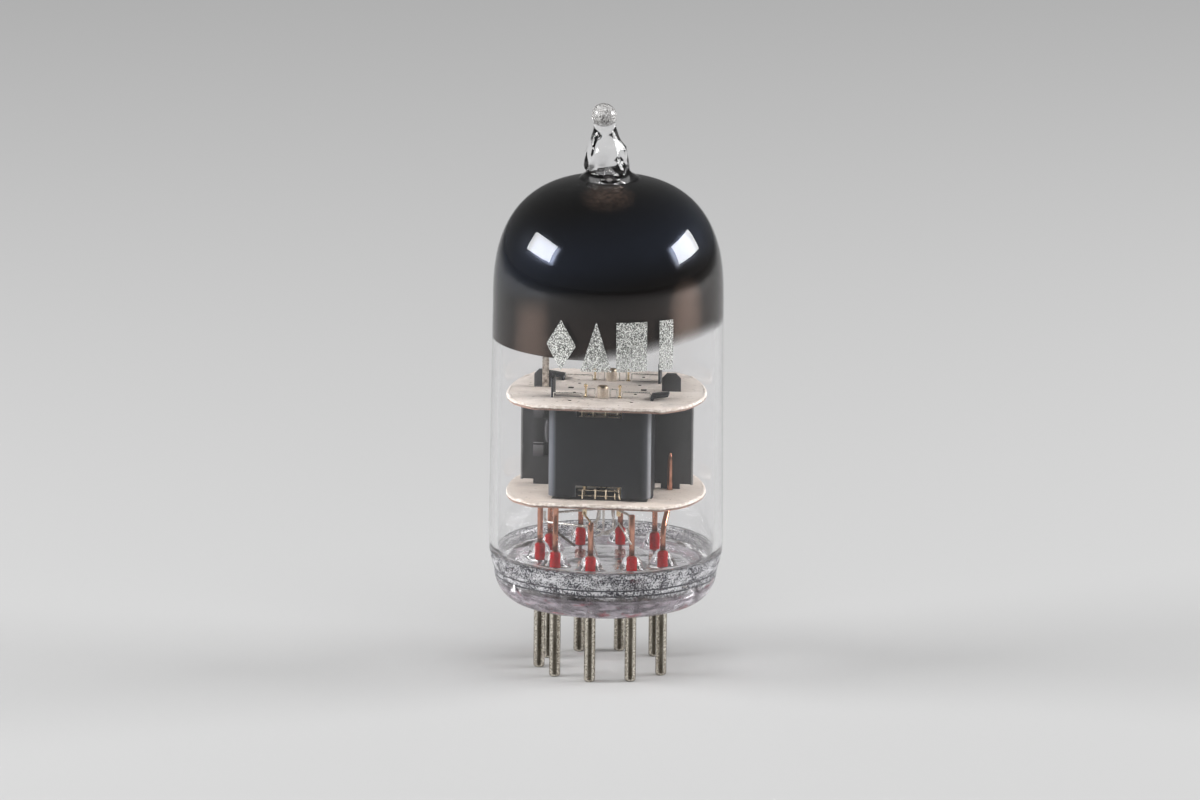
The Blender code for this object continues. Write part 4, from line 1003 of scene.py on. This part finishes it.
gold = gold_plate()
rod_low, rod_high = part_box("grid_rod_front_left")
rod_top = rod_high.z / mm
rod_foot = rod_low.z / mm
rod_place = 1.53
rod_radius = 0.2
for side, front_word, rear_word in ((-1, "left", "right"), (1, "right", "left")):
    rod_profile = [(0, rod_top), (0.09, rod_top - 0.01), (0.15, rod_top - 0.06), (0.17, rod_top - 0.14),
                   (0.15, rod_top - 0.24), (0.1, rod_top - 0.32), (0.09, rod_top - 0.5),
                   (0.09, rod_top - 1.05), (0.14, rod_top - 1.12), (rod_radius, rod_top - 1.16)]
    rod_profile += [(rod_radius, height) for height in np.linspace(rod_top - 1.3, rod_foot + 0.3, 8)]
    rod_profile += [(rod_radius, rod_foot), (0, rod_foot)]
    rod = turned(rod_profile, 20, gold)
    rod.transform(Matrix.Translation((side * rod_place * mm, -triode_offset * mm, 0)))
    piece(f"front_grid_rod_{front_word}", rod, "gold_rod", f"grid_rod_front_{front_word}")
    piece(f"rear_grid_rod_{rear_word}", half_turn(rod), "gold_rod", f"grid_rod_rear_{rear_word}")
winding = winding_tree()
coil = grown(winding, bpy.data.meshes.new("empty"), turns=26.0, height=7.0 * mm, half_length=1.78 * mm,
             half_depth=0.74 * mm, wire_radius=0.022 * mm, foot=17.6 * mm, offset=triode_offset * mm,
             finish=gold)
coil = outward(coil, 60)
both_triodes("{}_grid_winding", coil, "gold_rod", "grid_winding_front", "grid_winding_rear")


# Grid frames. At each end of its winding a grid is welded to a little gilt frame of thin posts
# and two rails, which shows through the windows of the anode. The lower one has a post more.
def sooted_gilt():
    made, shader, place = plain_shader("sooted_gilt", (0.5, 0.38, 0.2), 0.25, 0.6)
    soot_and_painted_shadow = mottling(place, 0.3, 3.0)
    # Faces turned sideways are painted bright near-white gold, a painted glint, and faces turned up or
    # down get less of it; the soot patches stay dark.
    post = spread(apart(facing(shader)["Z"]), 1, 0.35, 0.12, 0.4)
    gilt_and_painted_glint = times(spread(soot_and_painted_shadow, 0, 1, 0.36, 0.46), post)
    feed(shader, base_color=two_colours(gilt_and_painted_glint, (0.05, 0.032, 0.02), (1.0, 0.86, 0.64)))
    relief(shader, soot_and_painted_shadow, 0.03)
    return made


def frame_mesh(foot, height, posts):
    """Posts and two rails of thin wire just inside the anode's front wall."""
    bars = [((lower, frame_depth, foot - 0.2), (upper, frame_depth, foot + height + 0.12), thickness)
            for lower, upper, thickness in posts]
    rail = 0.06
    for share in (0.1, 0.95):
        level = foot + share * height
        bars.append(((-1.85, frame_depth + rail, level), (1.8, frame_depth + rail, level), rail))
    shape = bmesh.new()
    for start, stop, thickness in bars:
        middle = Vector(start).lerp(Vector(stop), 0.5)
        shape.from_mesh(wire_mesh([start, middle, stop], thickness, gilt, roundness=3))
    mesh = mesh_of(shape, "grid_frame")
    mesh.materials.append(gilt)
    mesh.shade_smooth()
    return mesh


frame_depth = -5.6
gilt = sooted_gilt()
lower_posts = ((-1.5, -1.47, 0.085), (-0.34, -0.32, 0.085), (0.6, 0.62, 0.08), (1.42, 1.4, 0.045),
               (1.86, 1.74, 0.085))
upper_posts = [(x, x, 0.055) for x in (-1.6, -0.6, 0.5, 1.55)]
for word, foot, height, posts in (("lower", 17.1, 0.6, lower_posts), ("upper", 24.4, 0.5, upper_posts)):
    both_triodes(f"{{}}_{word}_grid_frame", frame_mesh(foot, height, posts), "gold_rod")


# Stays. Small hoops of thin flat-ended wire stand on the upper mica between the grid rods and the
# cathode, and hold the rods at their distance.
def bright_wire():
    made, shader, place = plain_shader("bright_wire", (0.80, 0.79, 0.77), 0.3, 1.0)
    drawn = mottling(place, 0.1, 3.0)
    tint = two_colours(spread(drawn, 0, 1), (0.84, 0.83, 0.80), (0.62, 0.58, 0.53))
    feed(shader, base_color=tint, roughness=spread(drawn, 0.18, 0.4))
    return made


def stay_mesh(left, right, depth, height):
    """A hoop of thin wire that stands on the upper mica."""
    foot = upper_top - 0.02
    path = [(left, depth, foot), (left, depth, foot + height * 0.5), (left, depth, foot + height),
            (right, depth, foot + height), (right, depth, foot + height * 0.5), (right, depth, foot)]
    return wire_mesh(eased(path, 0.06, 2), 0.05, silver, roundness=2)


silver = bright_wire()
upper_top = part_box("upper_mica")[0].z / mm + mica_thickness
stays = ((-1.3, -0.68, -3.75, 0.85), (0.68, 1.3, -3.75, 0.85), (-4.3, -1.75, -4.3, 0.5),
         (1.75, 4.2, -3.2, 0.5))
for number, (left, right, depth, height) in enumerate(stays, 1):
    both_triodes(f"{{}}_stay_{number}", stay_mesh(left, right, depth, height), "silver_wire")


# Anodes. Each is a box folded from nickel sheet that was blackened with carbon to shed heat.
# Tabs on its end walls pass through the micas: one stands, and one is folded over.
def carbon_black():
    made, shader, place = plain_shader("carbon_black", (0.07, 0.075, 0.08), 0.5)
    grain = mottling(place, 0.22, 3.0)
    cloud = mottling(place, 2.6, 3.0)
    tint = two_colours(spread(cloud, 0, 1), (0.006, 0.007, 0.0095), (0.010, 0.011, 0.014))
    # The rounded vertical corners are painted lighter, the right-hand ones most: a painted highlight
    # from the side soft boxes.
    lean = facing(shader)
    depth = coordinates(place)["Y"]
    right = times(lean["X"], spread(depth, 1, -1, -0.5 * mm, 0.5 * mm))
    corner = apart(times(lean["X"], lean["Y"]))
    left_corner = times(spread(corner, 0, 1, 0.12, 0.5), spread(right, 1, 0.3, 0, 0.2))
    with_painted_highlight = two_colours(left_corner, tint, (0.15, 0.16, 0.185))
    near_corner = spread(apart(depth), 0, 1, 5.15 * mm, 5.4 * mm)
    right_corner = times(spread(right, 0, 1, 0.58, 0.8), near_corner)
    bright = two_colours(right_corner, with_painted_highlight, (0.23, 0.235, 0.25))
    feed(shader, base_color=bright)
    shader.inputs["Specular IOR Level"].default_value = 0.22
    feed(shader, roughness=spread(grain, 0.38, 0.48))
    relief(shader, grain, 0.004)
    return made


anode_finish = carbon_black()
for word in ("front", "rear"):
    node = f"anode_{word}"
    mesh = softened(cad_copy(node), node, anode_finish, 0.05)
    piece(f"{word}_anode", mesh, "blackened_anode", node)


# Shield. A flat plate between the two triodes, from the same blackened sheet, with turned side
# edges, feet and tabs through the micas, and two lugs folded out of windows in its left wing.
def shield_black():
    made, shader, place = plain_shader("shield_black", (0.10, 0.098, 0.104), 0.5)
    grain = mottling(place, 0.22, 3.0)
    cloud = mottling(place, 2.2, 3.0)
    tint = two_colours(spread(cloud, 0, 1), (0.014, 0.0135, 0.016), (0.024, 0.023, 0.0265))
    split = coordinates(place)
    # A column between the two windows of the left wing is painted nearly black: painted shadow beside
    # the rib.
    column = spread(apart(split["X"], window_middle * mm), 1, 0, 0.47 * mm, 0.5 * mm)
    between = spread(apart(split["Z"], between_windows * mm), 1, 0, 1.2 * mm, 1.27 * mm)
    soot_and_painted_shadow = times(column, between, spread(split["X"], 0.2, 1, -6.7 * mm, -6.1 * mm))
    # The lugs, which stand out towards the front, are painted lighter, and their upward faces much
    # lighter still: painted highlight.
    proud = times(spread(split["X"], 1, 0, -5.7 * mm, -5.66 * mm),
                  spread(split["Y"], 1, 0, -0.15 * mm, -0.12 * mm))
    bent = 0.0
    for lug_foot in (19.15, 22.9):
        rise = spread(split["Z"], 0, 1, lug_foot * mm, (lug_foot + 1.2) * mm)
        stop = spread(split["Z"], 1, 0, (lug_foot + 1.27) * mm, (lug_foot + 1.3) * mm)
        bent = sum_of("MAXIMUM", bent, times(rise, stop))
    with_painted_shadow = two_colours(soot_and_painted_shadow, tint, (0.002, 0.002, 0.002))
    lit = two_colours(times(proud, bent), with_painted_shadow, (0.15, 0.142, 0.15))
    tops = times(proud, spread(facing(shader)["Z"], 0, 1, 0.3, 0.7))
    with_painted_highlight = two_colours(tops, lit, (0.55, 0.53, 0.53))
    worn = spread(apart(split["X"]), 0, 1, (shield_half - 0.17) * mm, (shield_half - 0.13) * mm)
    feed(shader, base_color=two_colours(worn, with_painted_highlight, (0.24, 0.235, 0.235)),
         roughness=spread(grain, 0.42, 0.56))
    relief(shader, grain, 0.004)
    return made


def doubler_black():
    made, shader, place = plain_shader("doubler_black", (0.004, 0.004, 0.004), 0.6)
    split = coordinates(place)
    grain = mottling(place, 0.25, 3.0)
    # The strip is painted nearly black, darker than the shield plate: painted shade behind the windows.
    # The rib's front, which stands forward, is painted lighter: painted highlight.
    painted_rib_highlight = spread(split["Y"], 1, 0, -0.05 * mm, 0.08 * mm)
    painted_recess_shade = two_colours(grain, (0.002, 0.002, 0.002), (0.006, 0.006, 0.006))
    feed(shader, base_color=two_colours(painted_rib_highlight, painted_recess_shade, (0.085, 0.082, 0.088)))
    relief(shader, grain, 0.01)
    return made


def rib_mesh():
    """A doubler strip behind the two windows, with the rib that is pressed in it between them."""
    shape = bmesh.new()
    strip = Matrix.Translation((-5.25 * mm, 0.14 * mm, rib_height * mm))
    strip_size = Matrix.Diagonal((1.3 * mm, 0.04 * mm, 5.4 * mm, 1))
    bmesh.ops.create_cube(shape, size=1.0, matrix=strip @ strip_size)
    rib = Matrix.Translation((-5.38 * mm, -0.1 * mm, rib_height * mm))
    rib_size = Matrix.Diagonal((0.27 * mm, 0.2 * mm, 1.05 * mm, 1))
    bmesh.ops.create_uvsphere(shape, u_segments=24, v_segments=16, radius=1.0, matrix=rib @ rib_size)
    mesh = mesh_of(shape, "shield_rib")
    mesh.materials.append(doubler_black())
    mesh.shade_smooth()
    mesh.set_sharp_from_angle(angle=math.radians(35))
    return mesh


shield_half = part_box("shield")[1].x / mm
window_middle = -6.2
between_windows = 21.65
rib_height = 21.75
plate = softened(cad_copy("shield"), "shield", shield_black(), 0.03)
piece("shield_plate", plate, "shield_metal", "shield")
piece("shield_rib", rib_mesh(), "shield_metal")


# Straps and heater tails. Thin wires join the stub leads to the grid rods and cathodes, bare
# tails of the heaters run down to their leads, and a few clipped ends stand free of the welds.
def smoked_wire():
    made, shader, place = plain_shader("smoked_wire", (0.12, 0.115, 0.11), 0.35, 1.0)
    soot_and_painted_shadow = mottling(place, 0.3, 3.0)
    feed(shader, base_color=two_colours(spread(soot_and_painted_shadow, 0, 1), (0.05, 0.048, 0.045), (0.30, 0.28, 0.26)))
    return made


soot_and_painted_shade = smoked_wire()
for node in ("grid_strap_front", "grid_strap_rear", "cathode_strap_front", "cathode_strap_rear",
             "heater_tail_front", "heater_tail_rear", "heater_link"):
    finish, slot = (gold, "gold_rod") if node.startswith("grid") else (silver, "silver_wire")
    mesh = cad_copy(node)
    mesh.materials.clear()
    mesh.materials.append(finish)
    piece(node + "_wire", outward(mesh, 60), slot, node)
loose_ends = {
    "grid_strap_end": (0.09, [(-1.02, -5.65, 14.5), (-0.56, -5.7, 13.4), (-0.34, -5.37, 12.2),
                              (-0.16, -5.15, 11.6)]),
    "cathode_strap_end": (0.08, [(1.71, -5.54, 14.8), (2.26, -5.73, 14.0), (2.6, -5.6, 13.3),
                                 (2.9, -5.45, 12.8)]),
    "heater_end": (0.1, [(-0.4, -1.2, 16.35), (-0.9, -0.1, 12.6), (-0.36, -0.34, 12.9), (0, 0, 12.2),
                         (0.62, 0.07, 12.7), (0.9, -0.9, 16.35)]),
    "getter_strap": (0.12, [(-4.6, -2.6, 13.3), (-4.05, -2.47, 12.9), (-3.2, -2.38, 12.2),
                            (-2.5, -2.3, 11.7)]),
}
for name, (thickness, path) in loose_ends.items():
    finish = soot_and_painted_shade if name == "getter_strap" else silver
    piece(name, wire_mesh(eased(path, 0.3, 3), thickness, finish, roundness=3), "silver_wire")


# Getter. A shallow ring of channel, flashed once to take up the last gas, hangs from a flat
# bracket on the shield's tab.
def flashed_metal():
    made, shader, place = plain_shader("flashed_metal", (0.5, 0.47, 0.43), 0.45, 1.0)
    soot_and_painted_shadow = mottling(place, 0.3, 4.0)
    tint = two_colours(spread(soot_and_painted_shadow, 0, 1), (0.78, 0.73, 0.66), (0.24, 0.20, 0.17))
    feed(shader, base_color=tint, roughness=spread(soot_and_painted_shadow, 0.3, 0.6))
    relief(shader, soot_and_painted_shadow, 0.02)
    return made


getter_low, getter_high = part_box("getter_ring")
ring_top = getter_high.z / mm
ring_foot = getter_low.z / mm
ring_profile = [(1.8, ring_top), (1.8, ring_foot + 0.06), (1.74, ring_foot), (1.16, ring_foot),
                (1.1, ring_foot + 0.06), (1.1, ring_top), (1.22, ring_top), (1.22, ring_foot + 0.2),
                (1.3, ring_foot + 0.12), (1.6, ring_foot + 0.12), (1.68, ring_foot + 0.2),
                (1.68, ring_top), (1.8, ring_top)]
flashed = flashed_metal()
ring = turned(ring_profile, 72, flashed, 30)
ring_middle = (getter_low + getter_high) / 2
ring.transform(Matrix.Translation((ring_middle.x, ring_middle.y, 0)))
piece("getter_channel", ring, "getter_metal", "getter_ring")
bracket = softened(cad_copy("getter_holder"), "getter_holder", flashed, 0.02)
piece("getter_bracket", bracket, "gold_rod", "getter_holder")


# Getter film. The flashed metal lies on the inside of the dome as a dark mirror that thins to a
# brown haze at its lower edge.
def getter_mirror():
    made, shader, place = plain_shader("getter_mirror", (0.03, 0.031, 0.036), 0.10, 0.75)
    split = coordinates(place)
    wander = times(sum_of("SUBTRACT", mottling(place, 5.0, 3.0), 0.5), 0.5 * mm)
    tilt = times(split["X"], -0.2)
    level = sum_of("ADD", sum_of("ADD", split["Z"], wander), tilt)
    edge = spread(level, 0, 0.93, 30.1 * mm, 31.5 * mm)
    body = spread(level, 0, 0.07, 31.4 * mm, 32.6 * mm)
    away = sum_of("ADD", from_axis(place), times(wander, 0.5))
    round_tip = spread(away, 0.5, 1, 1.9 * mm, 3.6 * mm)
    spot = measured("DISTANCE", place, (0.485 * mm, -5.58 * mm, 44.37 * mm))
    thin_spot = spread(spot, 0.5, 1, 0.6 * mm, 1.5 * mm)
    cover = times(sum_of("ADD", edge, body), times(round_tip, thin_spot))
    feed(shader, alpha=cover)
    dense = spread(level, 0, 1, 31.5 * mm, 37.5 * mm)
    # A band of the dome from about 36.5 to 43.5 mm is painted bluish: painted reflection.
    painted_blue_reflection = times(spread(level, 0, 1, 36.5 * mm, 39.0 * mm),
                 spread(level, 1, 0, 40.0 * mm, 43.5 * mm))
    dark = two_colours(dense, (0.022, 0.012, 0.008), (0.010, 0.010, 0.0105))
    mirror = two_colours(painted_blue_reflection, dark, (0.026, 0.032, 0.048))
    # Two brown patches low on the wall, at the left and the right, are painted reflections.
    haze = 0.0
    for turn, strength in ((-38, 0.5), (52, 0.8)):
        side = (math.sin(math.radians(turn)), -math.cos(math.radians(turn)), 0)
        beside = sum_of("SUBTRACT", measured("DOT_PRODUCT", place, side), (bulb_radius - wall) * mm)
        haze = sum_of("MAXIMUM", haze, spread(beside, 0, strength, -0.42 * mm, -0.16 * mm))
    haze = times(haze, spread(level, 1, 0, 35.2 * mm, 37.0 * mm))
    with_painted_side_reflection = two_colours(haze, mirror, (0.22, 0.155, 0.125))
    streaks = spread(mottling(place, 0.3, 5.0, (1, 1, 2.5)), 0.2, 1, 0.42, 0.6)
    below_tip = measured("DISTANCE", place, (0.4 * mm, -4.3 * mm, 44.85 * mm))
    browned = times(streaks, spread(below_tip, 1, 0, 0.9 * mm, 2.8 * mm))
    feed(shader, base_color=two_colours(browned, with_painted_side_reflection, (0.19, 0.128, 0.098)))
    return made


def film_side(gap):
    """One side of the film, from the dome's top edge down the wall, at a gap from the outside."""
    return (dome_points(shoulder_radius - gap, dome_rise - gap, 40, 1.5)
            + [(wall_at(z) - gap, z) for z in np.linspace(shoulder_height, film_foot, 6)])


film_gap = wall - 0.04
film_thickness = 0.015
film_foot = 30.5
film_top = (1.35, 44.42)
film_profile = [film_top] + film_side(film_gap) + film_side(film_gap + film_thickness)[::-1]
film = turned(film_profile + [(1.35, 44.40), film_top], 192, getter_mirror())
piece("getter_film", film, "getter_metal")


# Tip grains. The bead at the tip and the nub that hangs inside under it were melted with the
# ends of the exhaust tube, and are clouded with fine white grains.
def clouded_glass(name, cover):
    made, shader, place = plain_shader(name, (0.82, 0.82, 0.82), 0.35)
    grains = mottling(place, 0.12, 2.0)
    veins = mottling(place, 0.5, 3.0)
    speckle = spread(sum_of("ADD", grains, spread(veins, -0.12, 0.12)), 0, 1, 0.44, 0.56)
    feed(shader, alpha=spread(speckle, cover, cover - 0.2, 0, 1))
    feed(shader, base_color=two_colours(speckle, (0.10, 0.09, 0.085), (0.86, 0.85, 0.83)))
    return made


bead_middle = tip_top - tip_ball
bead_radius = 0.92
bead_turns = [math.pi * i / 16 for i in range(17)]
bead_profile = [(bead_radius * math.sin(turn), bead_middle + bead_radius * math.cos(turn))
                for turn in bead_turns]
bead = turned(bead_profile, 40, clouded_glass("bead_glass", 0.55))
bead.transform(Matrix.Translation((tip_lean * 0.88 * mm, 0, 0)))
piece("tip_bead_grains", bead, "clear_glass")
nub_profile = [(0, 44.2), (0.5, 44.15), (0.8, 43.8), (0.72, 43.3), (0.84, 42.8), (0.78, 42.35),
               (0.5, 42.05), (0, 41.95)]
nub = turned(nub_profile, 40, clouded_glass("nub_glass", 1.0), 70)
piece("tip_nub", nub, "clear_glass")


# Printed marks. Four plain shapes are printed on the front of the bulb in silvery ink, whose
# grains stand apart where the fired ink has shrunk.
def silvery_ink():
    made, shader, place = plain_shader("silvery_ink", (0.78, 0.79, 0.75), 0.55)
    grains = mottling(place, 0.13, 1.0)
    feed(shader, alpha=spread(grains, 0.15, 1, 0.42, 0.50))
    tint = two_colours(spread(mottling(place, 0.1, 2.0), 0, 1, 0.46, 0.58),
                       (0.98, 0.98, 0.95), (0.20, 0.21, 0.19))
    feed(shader, base_color=tint)
    relief(shader, grains, 0.03)
    return made


def mark_mesh(angle, half_width):
    """A patch laid on the wall, with half its width in millimetres at each share of its height."""
    rows, columns = 24, 10
    outer, inner = [], []
    for i in range(rows + 1):
        height = mark_foot + mark_height * i / rows
        for j in range(columns + 1):
            along = half_width(i / rows) * (2 * j / columns - 1)
            turn = math.radians(angle) + along / wall_at(height)
            for layer, lift in ((outer, 0.035), (inner, 0.01)):
                reach = wall_at(height) + lift
                layer.append((reach * math.sin(turn) * mm, -reach * math.cos(turn) * mm, height * mm))
    count = (rows + 1) * (columns + 1)
    faces = []
    for i in range(rows):
        for j in range(columns):
            a = i * (columns + 1) + j
            b = a + columns + 1
            faces.append((a, a + 1, b + 1, b))
            faces.append((a + count, b + count, b + 1 + count, a + 1 + count))
    border = list(range(columns + 1))
    border += [i * (columns + 1) + columns for i in range(1, rows + 1)]
    border += [rows * (columns + 1) + j for j in range(columns - 1, -1, -1)]
    border += [i * (columns + 1) for i in range(rows - 1, 0, -1)]
    for a, b in zip(border, border[1:] + border[:1]):
        faces.append((b, a, a + count, b + count))
    mesh = bpy.data.meshes.new("mark")
    mesh.from_pydata(outer + inner, [], faces)
    mesh.materials.append(ink)
    return outward(mesh, 60)


mark_foot = 29.65
mark_height = 4.5
ink = silvery_ink()
thin = 0.02
marks = {
    "diamond": (-17.2, lambda t: thin + 1.42 * (1 - abs(2 * t - 1))),
    "triangle": (0.8, lambda t: thin + 1.4 * (1 - t)),
    "square": (18.4, lambda t: 1.4),
    "bar": (36.6, lambda t: 0.7),
}
for name, (angle, half_width) in marks.items():
    piece(f"printed_{name}", mark_mesh(angle, half_width), "silver_wire")


# Table and studio. The tube stands on a pale table. Two soft boxes stand at its sides, and a
# third hangs above.
def soft_box(name, azimuth, elevation, distance, width, height, radiance, in_gloss=True):
    data = bpy.data.lights.new(name, "AREA")
    data.shape = "RECTANGLE"
    data.size = width
    data.size_y = height
    data.energy = radiance * width * height * math.pi
    made = linked(name, data)
    swing, rise = math.radians(azimuth), math.radians(elevation)
    back = Vector((math.sin(swing) * math.cos(rise), -math.cos(swing) * math.cos(rise), math.sin(rise)))
    made.location = Vector((0, 0, 0.03)) + back * distance
    made.rotation_euler = back.to_track_quat("Z", "Y").to_euler()
    made.visible_glossy = in_gloss
    made.visible_transmission = in_gloss


table = bpy.data.meshes.new("table")
reach = 6.0
table.from_pydata([(-reach, -reach, 0), (reach, -reach, 0), (reach, reach, 0), (-reach, reach, 0)], [],
                  [(0, 1, 2, 3)])
table_top, table_shader, _ = plain_shader("table_top", (0.57, 0.57, 0.57), 0.9)
table_shader.inputs["Specular IOR Level"].default_value = 0.1
table.materials.append(table_top)
linked("table", table)
soft_box("left_soft_box", -75.5, 24.5, 0.45, 0.27, 0.13, 14.5)
soft_box("right_soft_box", 102, 20.5, 0.45, 0.27, 0.13, 14.5)
soft_box("top_soft_box", 20, 70, 1.0, 0.9, 0.9, 2.25, in_gloss=False)
world = bpy.data.worlds.new("studio")
bpy.context.scene.world = world
world.use_nodes = True
backdrop = world.node_tree.nodes["Background"].inputs
backdrop["Color"].default_value = (1.0, 1.0, 1.0, 1.0)
backdrop["Strength"].default_value = 0.17


# Camera. A long lens from a little above, as in the photograph, turned a little to the right.
camera_azimuth = math.radians(6.5)
camera_elevation = math.radians(14.2)
camera_distance = 1.1
camera_roll = math.radians(0.6)
aim_height = 24.7
aim_left = 0.65
back = Vector((math.sin(camera_azimuth) * math.cos(camera_elevation),
               -math.cos(camera_azimuth) * math.cos(camera_elevation), math.sin(camera_elevation)))
across = Vector((math.cos(camera_azimuth), math.sin(camera_azimuth), 0))
camera_data = bpy.data.cameras.new("camera")
camera_data.lens = 364
camera_data.sensor_width = 36
camera_data.clip_start = 0.1
camera_data.clip_end = 30
camera = linked("camera", camera_data)
camera.location = back * camera_distance
looked_at = Vector((0, 0, aim_height * mm)) - across * aim_left * mm
aim = (camera.location - looked_at).to_track_quat("Z", "Y").to_matrix()
camera.rotation_euler = (aim @ Matrix.Rotation(camera_roll, 3, "Z")).to_euler()
bpy.context.scene.camera = camera
bpy.context.scene.view_settings.view_transform = "Standard"
